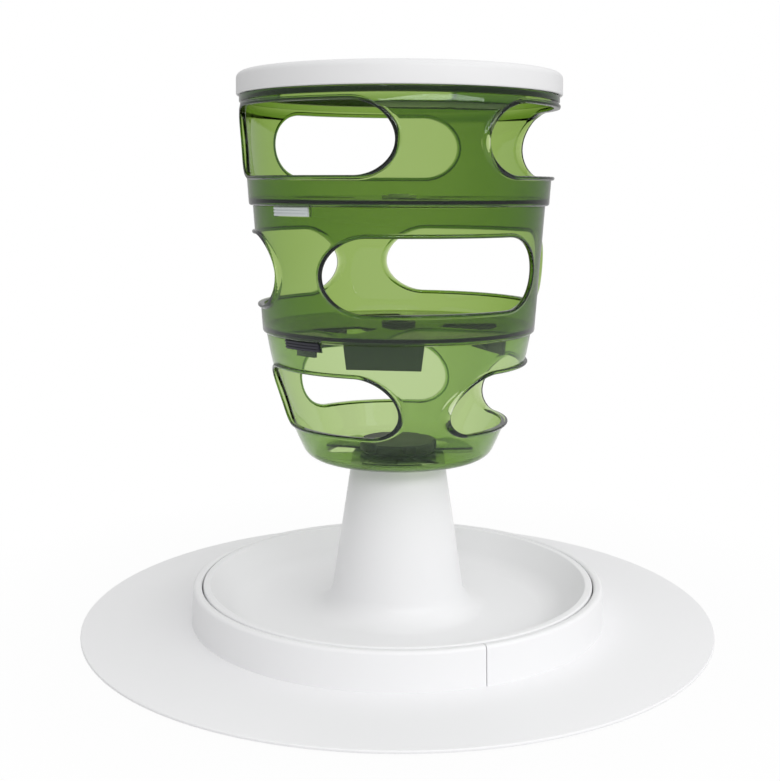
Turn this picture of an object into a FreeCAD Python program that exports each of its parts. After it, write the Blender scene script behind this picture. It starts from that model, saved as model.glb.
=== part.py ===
import FreeCAD
import Part

import math
import os
from types import SimpleNamespace

import Sketcher

# Cat food tree: a round mat with a raised collar, a dish with a trunk, and a tower of three
# translucent tiers under a lid. Each tier has three side windows and a floor with three drop
# holes. A three-bladed shutter covers more or less of those holes as the tier above it turns.
# Millimetres, +Z up, origin on the floor under the centre, front towards -Y.
# An azimuth is counted in degrees from the front, anticlockwise as seen from above.

os.makedirs("parts", exist_ok=True)
doc = FreeCAD.newDocument("cat_food_tree")

# Driving dimensions: name, value and meaning. Lengths in millimetres, angles in degrees.
SIZES = [
    ("seat_gap", 0.2, "gap where a loose piece rests on the piece below"),
    ("clearance", 0.3, "gap between pieces that slide or turn past each other"),
    ("sheet_wall", 2.2, "wall of the moulded tiers, and floor of the bottom one"),
    ("upper_floor_wall", 1.5, "floor of the two upper tiers"),
    ("mat_diameter", 380, "outer diameter of the mat"),
    ("mat_thickness", 1.6, "thickness of the mat"),
    ("mat_edge_rounding", 0.6, "rounding of the mat's upper edge"),
    ("mat_foot_height", 0.8, "how far the pads stand out under the mat"),
    ("mat_foot_radius", 9, "radius of a pad under the mat"),
    ("mat_foot_inset", 18, "from the mat's edge to the centre of a pad"),
    ("mat_foot_count", 8, "pads under the mat"),
    ("collar_inner_radius", 119, "inside of the collar"),
    ("collar_foot_width", 6.2, "width of the collar at the mat"),
    ("collar_rim_width", 5.2, "width of the collar at its top"),
    ("collar_height", 22, "height of the collar above the mat"),
    ("collar_rounding", 1.6, "rounding of the collar's top edges"),
    ("collar_seam_width", 0.5, "width of the split in the collar"),
    ("collar_seam_azimuth", 5, "where the split stands"),
    ("peg_radius", 1.8, "pegs that hold the collar in the mat"),
    ("peg_count", 6, "pegs under the collar"),
    ("peg_play", 0.1, "radial play of a peg in its hole"),
    ("dish_gap", 0.8, "gap between the dish and the collar"),
    ("dish_rim_width", 4.3, "flat width of the dish's rim"),
    ("dish_rim_rounding", 1.2, "rounding of the rim's edges"),
    ("dish_wall", 2.4, "wall of the dish and the trunk"),
    ("dish_slope_wall", 3.6, "sloping wall of the dish, measured level"),
    ("dish_foot_height", 1.4, "height of a pad under the dish"),
    ("dish_foot_radius", 8, "radius of a pad under the dish"),
    ("dish_foot_place", 72, "from the axis to the centre of a dish pad"),
    ("dish_foot_count", 4, "pads under the dish"),
    ("dish_depth", 18.1, "depth of the dish below its rim"),
    ("dish_floor_radius", 96, "where the dish's floor meets its wall"),
    ("dish_floor_rounding", 22, "hollow rounding between floor and wall"),
    ("trunk_height", 94.4, "trunk's shoulder above the dish's floor"),
    ("trunk_top_radius", 27.6, "trunk at its shoulder"),
    ("trunk_foot_radius", 41.8, "trunk where it meets the floor"),
    ("trunk_flare", 15, "hollow rounding at the trunk's foot"),
    ("trunk_edge_rounding", 0.8, "rounding of the trunk's shoulder"),
    ("spigot_radius", 18, "round spigot that the bottom tier turns on"),
    ("key_half_width", 11, "half the side of the square key for the bottom shutter"),
    ("stud_radius", 9, "stud that the knob turns on"),
    ("lug_reach", 3.4, "how far the lugs stand out of the stud"),
    ("lug_width", 6, "width of a lug"),
    ("lug_height", 1.6, "height of a lug"),
    ("knob_radius", 23, "outside of the locking knob"),
    ("knob_floor", 1.4, "knob's floor, under the lugs"),
    ("knob_roof", 1.6, "knob's roof, over the lugs"),
    ("knob_edge_rounding", 1.2, "rounding of the knob's top edge"),
    ("scallop_radius", 5, "finger hollows round the knob"),
    ("scallop_depth", 2.2, "how deep a finger hollow cuts in"),
    ("scallop_count", 6, "finger hollows round the knob"),
    ("knob_turn", 60, "turn that frees the knob's slots from the lugs"),
    ("bowl_height", 75.8, "bottom tier, from its underside to the joint above"),
    ("bowl_lean_foot", 25, "lean of the bottom tier's wall at its foot"),
    ("bowl_lean_top", 10, "lean of the bottom tier's wall at its top"),
    ("bowl_corner_radius", 11, "rounding of the bottom tier's foot"),
    ("bowl_straight", 6.5, "straight stretch of wall at the bowl's top"),
    ("middle_height", 73, "middle tier, from joint to joint"),
    ("top_height", 61.4, "top tier, from the joint to its rim"),
    ("top_rim_radius", 91, "top tier's outside under its rim band"),
    ("top_taper", 3.9, "how much narrower the top tier is at its bottom"),
    ("top_step", 2.2, "how far the top tier stands out past the middle one"),
    ("middle_taper", 4.8, "how much narrower the middle tier is at its bottom"),
    ("middle_step", 2, "how far the middle tier stands out past the bottom one"),
    ("rim_band_height", 5.6, "thick band under the lid"),
    ("rim_band_reach", 0.8, "how far that band stands out"),
    ("skirt_depth", 1.8, "how far an upper tier's wall hangs below its floor"),
    ("foot_rounding", 1.4, "rounding of an upper tier's bottom edge"),
    ("floor_rounding", 1, "rounding inside, between an upper tier's floor and wall"),
    ("bead_width", 2.1, "width of the raised bead round a window"),
    ("bead_reach", 1.7, "how far a bead stands out of the wall"),
    ("bead_root", 0.6, "how deep a bead is sunk in the wall"),
    ("bowl_wide_window", 112, "width of the bottom tier's wider window"),
    ("bowl_window_width", 96, "width of the bottom tier's other windows"),
    ("bowl_window_height", 34.5, "height of the bottom tier's windows"),
    ("bowl_window_centre", 39.75, "window's middle above the tier's underside"),
    ("middle_front_window", 120.5, "width of the middle tier's front window"),
    ("middle_window_width", 125, "width of the middle tier's other windows"),
    ("middle_window_height", 40, "height of the middle tier's windows"),
    ("middle_window_centre", 36.9, "window's middle above the tier's bottom edge"),
    ("top_wide_window", 129, "width of the top tier's wider window"),
    ("top_window_width", 120, "width of the top tier's other windows"),
    ("top_window_height", 38, "height of the top tier's windows"),
    ("top_window_centre", 35.5, "window's middle above the tier's bottom edge"),
    ("window_count", 3, "windows, drop holes and blades in a ring"),
    ("stagger", 60, "turn between the windows of one tier and the next"),
    ("drop_half_angle", 18, "half the angle that a drop hole spans"),
    ("drop_rounding", 3, "corner rounding of a drop hole"),
    ("drop_inner_radius", 27, "inner edge of a drop hole"),
    ("bowl_drop_inset", 35.6, "bottom tier's drop holes, inside the wall at the joint above"),
    ("middle_drop_inset", 20.1, "middle tier's drop holes, inside the wall of the tier below"),
    ("top_drop_inset", 21.9, "top tier's drop holes, inside the wall of the tier below"),
    ("blade_half_angle", 22, "half the angle that a blade spans"),
    ("blade_overlap", 3, "how far a blade reaches past a drop hole's edge"),
    ("blade_thickness", 1.4, "thickness of a shutter"),
    ("blade_azimuth", -24.7, "where a blade stands on the upper shutters"),
    ("low_blade_azimuth", -22, "where a blade stands on the bottom shutter"),
    ("hub_radius", 22, "round middle of a shutter"),
    ("band_width", 5, "outer ring of an upper shutter"),
    ("stem_radius", 6, "stem that carries a shutter in its tier's floor"),
    ("stem_play", 0.08, "running play of the stem in the floor"),
    ("stem_groove", 1.2, "depth of the groove that the hub clip snaps in"),
    ("stem_head", 1, "stem above the hub clip"),
    ("clip_radius", 10, "outside of a hub clip"),
    ("clip_thickness", 1.6, "thickness of a hub clip"),
    ("tab_azimuth", -60.5, "where a shutter's tab sits in the rim below"),
    ("tab_width", 27, "width of a tab"),
    ("tab_drop", 5.2, "how far a tab reaches down below the joint"),
    ("tab_depth", 3.4, "thickness of a tab"),
    ("tab_reach", 0.5, "how far a tab stands out of the wall it sits in"),
    ("arm_width", 16, "arm between a shutter's ring and its tab"),
    ("ridge_height", 0.8, "height of one grip ridge on a tab"),
    ("ridge_reach", 0.5, "how far a ridge stands out of the tab"),
    ("ridge_count", 3, "grip ridges on a tab"),
    ("tongue_width", 14, "tongue that hangs behind the lower wall"),
    ("tongue_drop", 3.6, "how far the tongue hangs below the tab"),
    ("tongue_depth", 1.8, "thickness of the tongue"),
    ("plate_width", 45, "width of a hanging grip plate at its top"),
    ("plate_taper", 2, "how much narrower a plate is at each side of its foot"),
    ("plate_drop", 15.6, "how far a plate hangs below its blade"),
    ("plate_thickness", 2.4, "thickness of a plate"),
    ("gusset_reach", 23, "how far the gusset behind a plate reaches inwards"),
    ("gusset_thickness", 2, "thickness of the gusset"),
    ("pin_radius", 1.6, "stop pins under a tier's floor"),
    ("pin_gap", 2.4, "gap between a stop pin and the shutter's outer ring"),
    ("short_turn", 25, "turn to the stop with the drop holes fully open"),
    ("long_turn", 60, "turn to the stop with the windows above each other"),
    ("lid_overhang", 1.6, "how far the lid reaches past the rim band"),
    ("lid_height", 13, "height of the lid"),
    ("lid_wall", 2.4, "wall of the lid"),
    ("lid_top_rounding", 4, "rounding of the lid's top edge"),
    ("lid_foot_rounding", 0.8, "rounding of the lid's lower edge"),
]
# How far a cutting shape runs past the face that it cuts
OVERSHOOT = 1
# Below this a number counts as zero
TINY = 1e-6
# Edges this near to a place are the ones meant
NEAR = 1e-4


class Size:
    """A length or angle that keeps its formula for the document beside its value."""

    def __init__(self, text, value):
        self.text = text
        self.value = value

    def __add__(self, other):
        other = as_size(other)
        return Size(f"({self.text} + {other.text})", self.value + other.value)

    def __sub__(self, other):
        other = as_size(other)
        return Size(f"({self.text} - {other.text})", self.value - other.value)

    def __mul__(self, other):
        other = as_size(other)
        return Size(f"({self.text} * {other.text})", self.value * other.value)

    def __truediv__(self, other):
        other = as_size(other)
        return Size(f"({self.text} / {other.text})", self.value / other.value)

    def __neg__(self):
        return Size(f"(0 - {self.text})", -self.value)


def as_size(number):
    """Turn a plain number into a Size."""
    if isinstance(number, Size):
        return number
    return Size(str(number), number)


def sine(angle):
    """Sine of an angle in degrees."""
    return Size(f"sin({angle.text} * 1 deg)", math.sin(math.radians(angle.value)))


def cosine(angle):
    """Cosine of an angle in degrees."""
    return Size(f"cos({angle.text} * 1 deg)", math.cos(math.radians(angle.value)))


def hypotenuse(across, along):
    """Length of a diagonal."""
    text = f"sqrt({across.text} * {across.text} + {along.text} * {along.text})"
    return Size(text, math.hypot(across.value, along.value))


def make_sheet():
    """Write the driving dimensions into the document's spreadsheet."""
    sheet = doc.addObject("Spreadsheet::Sheet", "sizes")
    for row, (alias, value, meaning) in enumerate(SIZES, 1):
        sheet.set(f"A{row}", meaning)
        sheet.set(f"B{row}", str(value))
        sheet.setAlias(f"B{row}", alias)
    doc.recompute()
    cells = {alias: Size(f"sizes.{alias}", value) for alias, value, meaning in SIZES}
    return SimpleNamespace(**cells)


size = make_sheet()
ZERO = as_size(0)

# Heights, from the floor up
mat_top = size.mat_foot_height + size.mat_thickness
dish_base = mat_top + size.seat_gap + size.dish_foot_height
dish_floor = dish_base + size.dish_wall
dish_rim = dish_floor + size.dish_depth
shoulder = dish_floor + size.trunk_height
bowl_bottom = shoulder + size.seat_gap
middle_bottom = bowl_bottom + size.bowl_height
top_bottom = middle_bottom + size.middle_height
rim_top = top_bottom + size.top_height
lid_bottom = rim_top + size.seat_gap
lid_top = lid_bottom + size.lid_height
lid_ceiling = lid_top - size.lid_wall

# Heights where the tower is locked on the trunk
bowl_floor = bowl_bottom + size.sheet_wall
spigot_top = bowl_floor + size.clearance
low_blade_bottom = spigot_top
key_top = low_blade_bottom + size.blade_thickness + size.seat_gap
knob_bottom = key_top + size.seat_gap
knob_inside = knob_bottom + size.knob_floor
lug_bottom = knob_inside + size.clearance
stud_top = lug_bottom + size.lug_height
knob_ceiling = stud_top + size.clearance
knob_top = knob_ceiling + size.knob_roof

# Radii that one piece takes from the next
dish_radius = size.collar_inner_radius - size.dish_gap
lid_radius = size.top_rim_radius + size.rim_band_reach + size.lid_overhang
lid_inside = lid_radius - size.lid_wall
top_foot_radius = size.top_rim_radius - size.top_taper
middle_top_radius = top_foot_radius - size.top_step
middle_foot_radius = middle_top_radius - size.middle_taper
bowl_top_radius = middle_foot_radius - size.middle_step
bowl_drop_outer = bowl_top_radius - size.bowl_drop_inset
middle_drop_outer = bowl_top_radius - size.middle_drop_inset
top_drop_outer = middle_top_radius - size.top_drop_inset


# Sketches and features of a body

def new_body(name, azimuth=ZERO):
    """Start a body, turned about the axis to an azimuth."""
    body = doc.addObject("PartDesign::Body", name)
    body.setExpression("Placement.Rotation.Angle", f"{azimuth.text} * 1 deg")
    return body


def origin_item(body, role):
    """A plane or axis of the body's own origin."""
    return next(item for item in body.Origin.OriginFeatures if item.Role == role)


def new_sketch(body, plane, offset=ZERO):
    """An empty sketch on a plane of the body, moved along the plane's normal.

    The XZ plane's normal points to the front, so an offset there is a distance from the axis.
    """
    sketch = body.newObject("Sketcher::SketchObject", f"{body.Name}_sketch")
    sketch.AttachmentSupport = (origin_item(body, plane), [""])
    sketch.MapMode = "FlatFace"
    sketch.setExpression("AttachmentOffset.Base.z", as_size(offset).text)
    return sketch


def lock(sketch, kind, name, length, *where):
    """Add a dimension to a sketch and tie it to a formula."""
    index = sketch.addConstraint(Sketcher.Constraint(kind, *where, length.value))
    sketch.renameConstraint(index, name)
    sketch.setExpression(f"Constraints.{name}", length.text)


def lock_place(sketch, kind, name, edge, end, distance):
    """Hold a point of a sketch at a distance to the right of or above the sketch's origin."""
    if abs(distance.value) < TINY:
        axis = -2 if kind == "DistanceX" else -1
        sketch.addConstraint(Sketcher.Constraint("PointOnObject", edge, end, axis))
    elif distance.value > 0:
        lock(sketch, kind, f"{kind}_{name}", distance, -1, 1, edge, end)
    else:
        lock(sketch, kind, f"{kind}_{name}", -distance, edge, end, -1, 1)


def lock_point(sketch, name, edge, end, x, y):
    """Hold a point of a sketch at x, y."""
    lock_place(sketch, "DistanceX", name, edge, end, x)
    lock_place(sketch, "DistanceY", name, edge, end, y)


def arc_edge(start, finish, radius, bend):
    """An arc between two points. The bend is 1 for a left-hand curve, -1 for a right-hand one."""
    chord = finish - start
    half = chord.Length / 2
    left = FreeCAD.Vector(-chord.y, chord.x, 0).normalize()
    centre = start + chord * 0.5 + left * bend * math.sqrt(max(radius * radius - half * half, 0))
    crown = centre - left * bend * radius
    return Part.Arc(start, crown, finish)


def outline(sketch, path):
    """Draw a closed outline. A corner is (x, y), or (x, y, radius, bend) where an arc starts.

    An arc is held by its radius, or where it is a half circle, by its centre beside its start.
    """
    corners = [(as_size(corner[0]), as_size(corner[1])) for corner in path]
    points = [FreeCAD.Vector(x.value, y.value, 0) for x, y in corners]
    ends = []
    for index, corner in enumerate(path):
        start = points[index]
        finish = points[(index + 1) % len(path)]
        curve = Part.LineSegment(start, finish)
        if len(corner) == 4:
            curve = arc_edge(start, finish, corner[2].value, corner[3])
        edge = sketch.addGeometry(curve, False)
        first = 1 if sketch.getPoint(edge, 1).distanceToPoint(start) < TINY else 2
        ends.append((edge, first, 3 - first))
    for index, (edge, first, last) in enumerate(ends):
        next_edge, next_first, next_last = ends[(index + 1) % len(ends)]
        sketch.addConstraint(Sketcher.Constraint("Coincident", edge, last, next_edge, next_first))
    for index, (edge, first, last) in enumerate(ends):
        lock_point(sketch, index, edge, first, *corners[index])
        chord = points[index].distanceToPoint(points[(index + 1) % len(path)])
        if len(path[index]) == 4 and chord > 2 * path[index][2].value - TINY:
            lock_place(sketch, "DistanceX", f"{index}_centre", edge, 3, corners[index][0])
        elif len(path[index]) == 4:
            lock(sketch, "Radius", f"bend_{index}", path[index][2], edge)


def circle(sketch, radius, name="ring", x=ZERO, y=ZERO):
    """Draw a circle."""
    centre = FreeCAD.Vector(x.value, y.value, 0)
    edge = sketch.addGeometry(Part.Circle(centre, FreeCAD.Vector(0, 0, 1), radius.value), False)
    lock(sketch, "Radius", f"{name}_size", radius, edge)
    lock_point(sketch, name, edge, 3, x, y)


def add_feature(body, kind, sketch):
    """Start a feature of a body from a sketch."""
    feature = body.newObject(kind, f"{sketch.Name}_feature")
    feature.Profile = (sketch, [""])
    return feature


def revolve(body, path, kind="PartDesign::Revolution"):
    """Add what a closed outline of (radius, height) sweeps about the axis."""
    sketch = new_sketch(body, "XZ_Plane")
    outline(sketch, path)
    feature = add_feature(body, kind, sketch)
    feature.ReferenceAxis = (sketch, ["V_Axis"])
    feature.Angle = 360
    doc.recompute()
    return feature


def groove(body, path):
    """Cut away what a closed outline of (radius, height) sweeps about the axis."""
    before = body.Shape.Volume
    feature = revolve(body, path, "PartDesign::Groove")
    if feature.Shape.Volume > before - TINY:
        raise RuntimeError(f"{feature.Label} cuts nothing")
    return feature


def pad(body, sketch, length):
    """Raise a sketch into a solid along its plane's normal."""
    feature = add_feature(body, "PartDesign::Pad", sketch)
    feature.setExpression("Length", length.text)
    doc.recompute()
    return feature


def pillar(body, radius, bottom, top, y=ZERO):
    """Add a round pillar from one height to another."""
    sketch = new_sketch(body, "XY_Plane", bottom)
    circle(sketch, radius, y=y)
    return pad(body, sketch, top - bottom)


def ring_pattern(body, features, count):
    """Repeat features of a body round the axis."""
    pattern = body.newObject("PartDesign::PolarPattern", f"{body.Name}_pattern")
    pattern.Originals = features
    pattern.Axis = (origin_item(body, "Z_Axis"), [""])
    pattern.Angle = 360
    pattern.setExpression("Occurrences", count.text)
    body.Tip = pattern
    doc.recompute()


def fillet(body, radius, wanted):
    """Round the edges of a body that a test picks."""
    base = body.Tip
    picked = [index for index, edge in enumerate(base.Shape.Edges, 1) if wanted(edge.BoundBox)]
    if not picked:
        raise RuntimeError(f"{body.Label} has no edge to round")
    feature = body.newObject("PartDesign::Fillet", f"{body.Name}_fillet")
    feature.Base = (base, [f"Edge{index}" for index in picked])
    feature.setExpression("Radius", radius.text)
    doc.recompute()


def round_rim(body, rounding, radius, height):
    """Round the edge that runs round the axis at a radius and height."""
    def wanted(box):
        level = abs(box.ZMin - height.value) + abs(box.ZMax - height.value) < NEAR
        return level and abs(box.XMax - radius.value) < NEAR
    fillet(body, rounding, wanted)


def round_uprights(body, rounding):
    """Round every straight upright edge."""
    fillet(body, rounding, lambda box: max(box.XLength, box.YLength) < NEAR)


def boolean(kind, name, base, tool):
    """Join, cut or intersect two objects."""
    feature = doc.addObject(f"Part::{kind}", name)
    feature.Base = base
    feature.Tool = tool
    doc.recompute()
    return feature


# Outlines that come back

def box_path(left, right, bottom, top):
    """Rectangle."""
    return [(left, bottom), (right, bottom), (right, top), (left, top)]


def sector_path(inner, outer, half_angle):
    """Sector of a ring, centred on the front."""
    across = sine(half_angle)
    along = -cosine(half_angle)
    return [
        (-(inner * across), inner * along, inner, 1),
        (inner * across, inner * along),
        (outer * across, outer * along, outer, -1),
        (-(outer * across), outer * along),
    ]


def stadium_path(width, height, centre):
    """Slot with round ends, centred on the front."""
    end_radius = height / 2
    straight = width / 2 - end_radius
    return [
        (-straight, centre - end_radius),
        (straight, centre - end_radius, end_radius, 1),
        (straight, centre + end_radius),
        (-straight, centre + end_radius, end_radius, 1),
    ]


# Finished pieces, by the name of their node
nodes = {}


def keep(name, piece):
    """Name a finished piece."""
    piece.Label = name
    nodes[name] = piece


# Mat: a thin disc, a split collar pegged to it, and pads underneath

def peg_ring(name, radius, bottom, top):
    """Round pegs in a ring under the collar's wall."""
    body = new_body(name)
    place = size.collar_inner_radius + size.collar_rim_width / 2
    peg = pillar(body, radius, bottom, top, y=-place)
    ring_pattern(body, [peg], size.peg_count)
    return body


def make_placemat():
    """Thin round sheet with holes for the collar's pegs."""
    disc = new_body("mat_disc")
    pillar(disc, size.mat_diameter / 2, size.mat_foot_height, mat_top)
    round_rim(disc, size.mat_edge_rounding, size.mat_diameter / 2, mat_top)
    holes = peg_ring("mat_holes", size.peg_radius + size.peg_play, ZERO, mat_top + OVERSHOOT)
    keep("placemat", boolean("Cut", "mat_pierced", disc, holes))


def make_collar():
    """Raised ring that the dish stands in, with a narrow split near the front."""
    inner = size.collar_inner_radius
    rim_outer = inner + size.collar_rim_width
    rim = mat_top + size.collar_height
    ring = new_body("collar_ring")
    revolve(ring, [
        (inner, mat_top),
        (inner + size.collar_foot_width, mat_top),
        (rim_outer, rim),
        (inner, rim),
    ])
    round_rim(ring, size.collar_rounding, inner, rim)
    round_rim(ring, size.collar_rounding, rim_outer, rim)
    seam = new_body("collar_seam", size.collar_seam_azimuth)
    sketch = new_sketch(seam, "XZ_Plane", inner - OVERSHOOT)
    half = size.collar_seam_width / 2
    outline(sketch, box_path(-half, half, mat_top - OVERSHOOT, rim + OVERSHOOT))
    pad(seam, sketch, size.collar_foot_width + 2 * OVERSHOOT)
    split = boolean("Cut", "collar_split", ring, seam)
    pegs = peg_ring("collar_pegs", size.peg_radius, size.mat_foot_height, mat_top + OVERSHOOT)
    keep("mat_collar", boolean("Fuse", "collar_pegged", split, pegs))


def make_mat_feet():
    """Pads under the mat, near its edge."""
    feet = new_body("mat_feet")
    place = size.mat_diameter / 2 - size.mat_foot_inset
    foot = pillar(feet, size.mat_foot_radius, ZERO, size.mat_foot_height, y=-place)
    ring_pattern(feet, [foot], size.mat_foot_count)
    keep("mat_feet", feet)


# Dish and trunk in one moulding, hollow underneath

def make_dish():
    """Dish with a conical trunk, and on top the spigot, key and stud for the tower."""
    rim_inner = dish_radius - size.dish_rim_width
    wall = size.dish_wall
    body = new_body("dish_trunk")
    revolve(body, [
        (ZERO, dish_base),
        (dish_radius, dish_base),
        (dish_radius, dish_rim),
        (rim_inner, dish_rim),
        (size.dish_floor_radius, dish_floor),
        (size.trunk_foot_radius, dish_floor),
        (size.trunk_top_radius, shoulder),
        (ZERO, shoulder),
    ])
    hollow_trunk(body, wall)
    hollow_rim(body, wall, rim_inner)
    round_rim(body, size.dish_floor_rounding, size.dish_floor_radius, dish_floor)
    round_rim(body, size.trunk_flare, size.trunk_foot_radius, dish_floor)
    round_rim(body, size.dish_rim_rounding, rim_inner, dish_rim)
    round_rim(body, size.dish_rim_rounding, dish_radius, dish_rim)
    round_rim(body, size.trunk_edge_rounding, size.trunk_top_radius, shoulder)
    add_tower_seat(body)
    keep("dish_trunk", body)


def hollow_trunk(body, wall):
    """Hollow the trunk out from below."""
    groove(body, [
        (ZERO, dish_base - OVERSHOOT),
        (size.trunk_foot_radius - wall, dish_base - OVERSHOOT),
        (size.trunk_foot_radius - wall, dish_base),
        (size.trunk_top_radius - wall, shoulder - wall),
        (ZERO, shoulder - wall),
    ])


def hollow_rim(body, wall, rim_inner):
    """Hollow out the space between the dish's slope and its upright outside."""
    rise = size.dish_depth / (rim_inner - size.dish_floor_radius)
    slope_foot = size.dish_floor_radius + size.dish_slope_wall
    outside = dish_radius - wall
    groove(body, [
        (slope_foot - wall / rise, dish_base - OVERSHOOT),
        (outside, dish_base - OVERSHOOT),
        (outside, dish_floor + rise * (outside - slope_foot)),
        (slope_foot - wall / rise, dish_base),
    ])


def add_tower_seat(body):
    """Spigot for the bottom tier, key for its shutter, and stud with lugs for the knob."""
    pillar(body, size.spigot_radius, shoulder, spigot_top)
    key = new_sketch(body, "XY_Plane", spigot_top)
    half_key = size.key_half_width
    outline(key, box_path(-half_key, half_key, -half_key, half_key))
    pad(body, key, key_top - spigot_top)
    pillar(body, size.stud_radius, key_top, stud_top)
    lug = new_sketch(body, "XY_Plane", lug_bottom)
    half_lug = size.lug_width / 2
    reach = size.stud_radius + size.lug_reach
    outline(lug, box_path(-half_lug, half_lug, -reach, -half_lug))
    ring_pattern(body, [pad(body, lug, size.lug_height)], size.window_count)


def make_dish_feet():
    """Pads under the dish's floor."""
    feet = new_body("dish_feet")
    bottom = dish_base - size.dish_foot_height
    foot = pillar(feet, size.dish_foot_radius, bottom, dish_base, y=-size.dish_foot_place)
    ring_pattern(feet, [foot], size.dish_foot_count)
    keep("dish_feet", feet)


def make_knob():
    """Knob that turns on the stud and holds the tower down by the lugs."""
    body = new_body("knob_body")
    pillar(body, size.knob_radius, knob_bottom, knob_top)
    bore = size.stud_radius + size.clearance
    lug_corner = hypotenuse(size.lug_width / 2, size.stud_radius + size.lug_reach)
    chamber = lug_corner + size.clearance
    groove(body, [
        (ZERO, knob_bottom - OVERSHOOT),
        (bore, knob_bottom - OVERSHOOT),
        (bore, knob_inside),
        (chamber, knob_inside),
        (chamber, knob_ceiling),
        (ZERO, knob_ceiling),
    ])
    round_rim(body, size.knob_edge_rounding, size.knob_radius, knob_top)
    slots = new_body("knob_slots", size.knob_turn)
    slot = new_sketch(slots, "XY_Plane", knob_bottom - OVERSHOOT)
    half = size.lug_width / 2 + size.clearance
    outline(slot, box_path(-half, half, -chamber, -half))
    cut = pad(slots, slot, knob_inside - knob_bottom + 2 * OVERSHOOT)
    ring_pattern(slots, [cut], size.window_count)
    scallops = new_body("knob_scallops")
    place = size.knob_radius + size.scallop_radius - size.scallop_depth
    scallop = pillar(scallops, size.scallop_radius, knob_bottom - OVERSHOOT,
                     knob_top + OVERSHOOT, y=-place)
    ring_pattern(scallops, [scallop], size.scallop_count)
    slotted = boolean("Cut", "knob_slotted", body, slots)
    keep("lock_knob", boolean("Cut", "knob_scalloped", slotted, scallops))


# Tiers: a moulded wall and floor, beads round the windows, and drop holes in the floor

def on_line(foot, head, height):
    """Radius at a height on the straight line between two (radius, height) points."""
    (foot_radius, foot_height), (head_radius, head_height) = foot, head
    rise = (height - foot_height) / (head_height - foot_height)
    return foot_radius + (head_radius - foot_radius) * rise


def windows(name, azimuth, window, grow):
    """Prisms with the windows' outline grown by a distance, outwards through the tier's wall.

    The first window stands at the azimuth and has its own width.
    """
    first_width, other_width, height, centre = window
    prisms = None
    for index in range(int(size.window_count.value)):
        width = other_width if index else first_width
        turn = as_size(360) / size.window_count * index
        body = new_body(f"{name}_{index}", azimuth + turn)
        sketch = new_sketch(body, "XZ_Plane", size.drop_inner_radius)
        outline(sketch, stadium_path(width + grow * 2, height + grow * 2, centre))
        pad(body, sketch, size.top_rim_radius)
        prisms = boolean("Fuse", f"{name}_to_{index}", prisms, body) if prisms else body
    return prisms


def drop_holes(name, azimuth, outer, under, thickness):
    """Prisms with the drop holes' outline, through a tier's floor."""
    body = new_body(name, azimuth)
    sketch = new_sketch(body, "XY_Plane", under - OVERSHOOT)
    outline(sketch, sector_path(size.drop_inner_radius, outer, size.drop_half_angle))
    hole = pad(body, sketch, thickness + 2 * OVERSHOOT)
    ring_pattern(body, [hole], size.window_count)
    round_uprights(body, size.drop_rounding)
    return body


def pierce(name, azimuth, shell, layer, window, drops):
    """Raise the windows' beads out of a shell, then cut its windows and drop holes."""
    frames = windows(f"{name}_frames", azimuth, window, size.bead_width)
    beads = boolean("Common", f"{name}_beads", layer, frames)
    beaded = boolean("Fuse", f"{name}_beaded", shell, beads)
    openings = windows(f"{name}_openings", azimuth, window, ZERO)
    opened = boolean("Cut", f"{name}_opened", beaded, openings)
    holes = drop_holes(f"{name}_drops", azimuth + size.stagger, *drops)
    return boolean("Cut", f"{name}_pierced", opened, holes)


def cut_notch(name, joint, shell):
    """Cut the notch for a shutter's tab out of a tier's rim."""
    body = new_body(f"{name}_notch", size.tab_azimuth)
    sketch = new_sketch(body, "XZ_Plane", size.drop_inner_radius)
    half = size.tab_width / 2 + size.clearance
    bottom = joint - size.tab_drop - size.clearance
    outline(sketch, box_path(-half, half, bottom, joint + size.skirt_depth + OVERSHOOT))
    pad(body, sketch, size.top_rim_radius)
    return boolean("Cut", f"{name}_notched", shell, body)


def rim_steps(foot, head, joint, next_foot_radius):
    """Corners of a tier's rim: a shoulder, and a thin ring that fits in the tier above."""
    ledge = joint - size.clearance
    outer = on_line(foot, head, ledge)
    inner = outer - size.sheet_wall
    ring = next_foot_radius - size.sheet_wall - size.clearance
    ring_top = joint + size.skirt_depth - size.clearance
    return [(outer, ledge), (ring, ledge), (ring, ring_top), (inner, ring_top), (inner, ledge)]


def band_layer(name, foot, head, window):
    """Layer of a conical wall that the windows' beads are cut from."""
    height, centre = window[2:]
    reach = height / 2 + size.bead_width + OVERSHOOT
    low = centre - reach
    high = centre + reach
    root = -size.bead_root
    layer = new_body(f"{name}_layer")
    revolve(layer, [
        (on_line(foot, head, low) + root, low),
        (on_line(foot, head, low) + size.bead_reach, low),
        (on_line(foot, head, high) + size.bead_reach, high),
        (on_line(foot, head, high) + root, high),
    ])
    return layer


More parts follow.
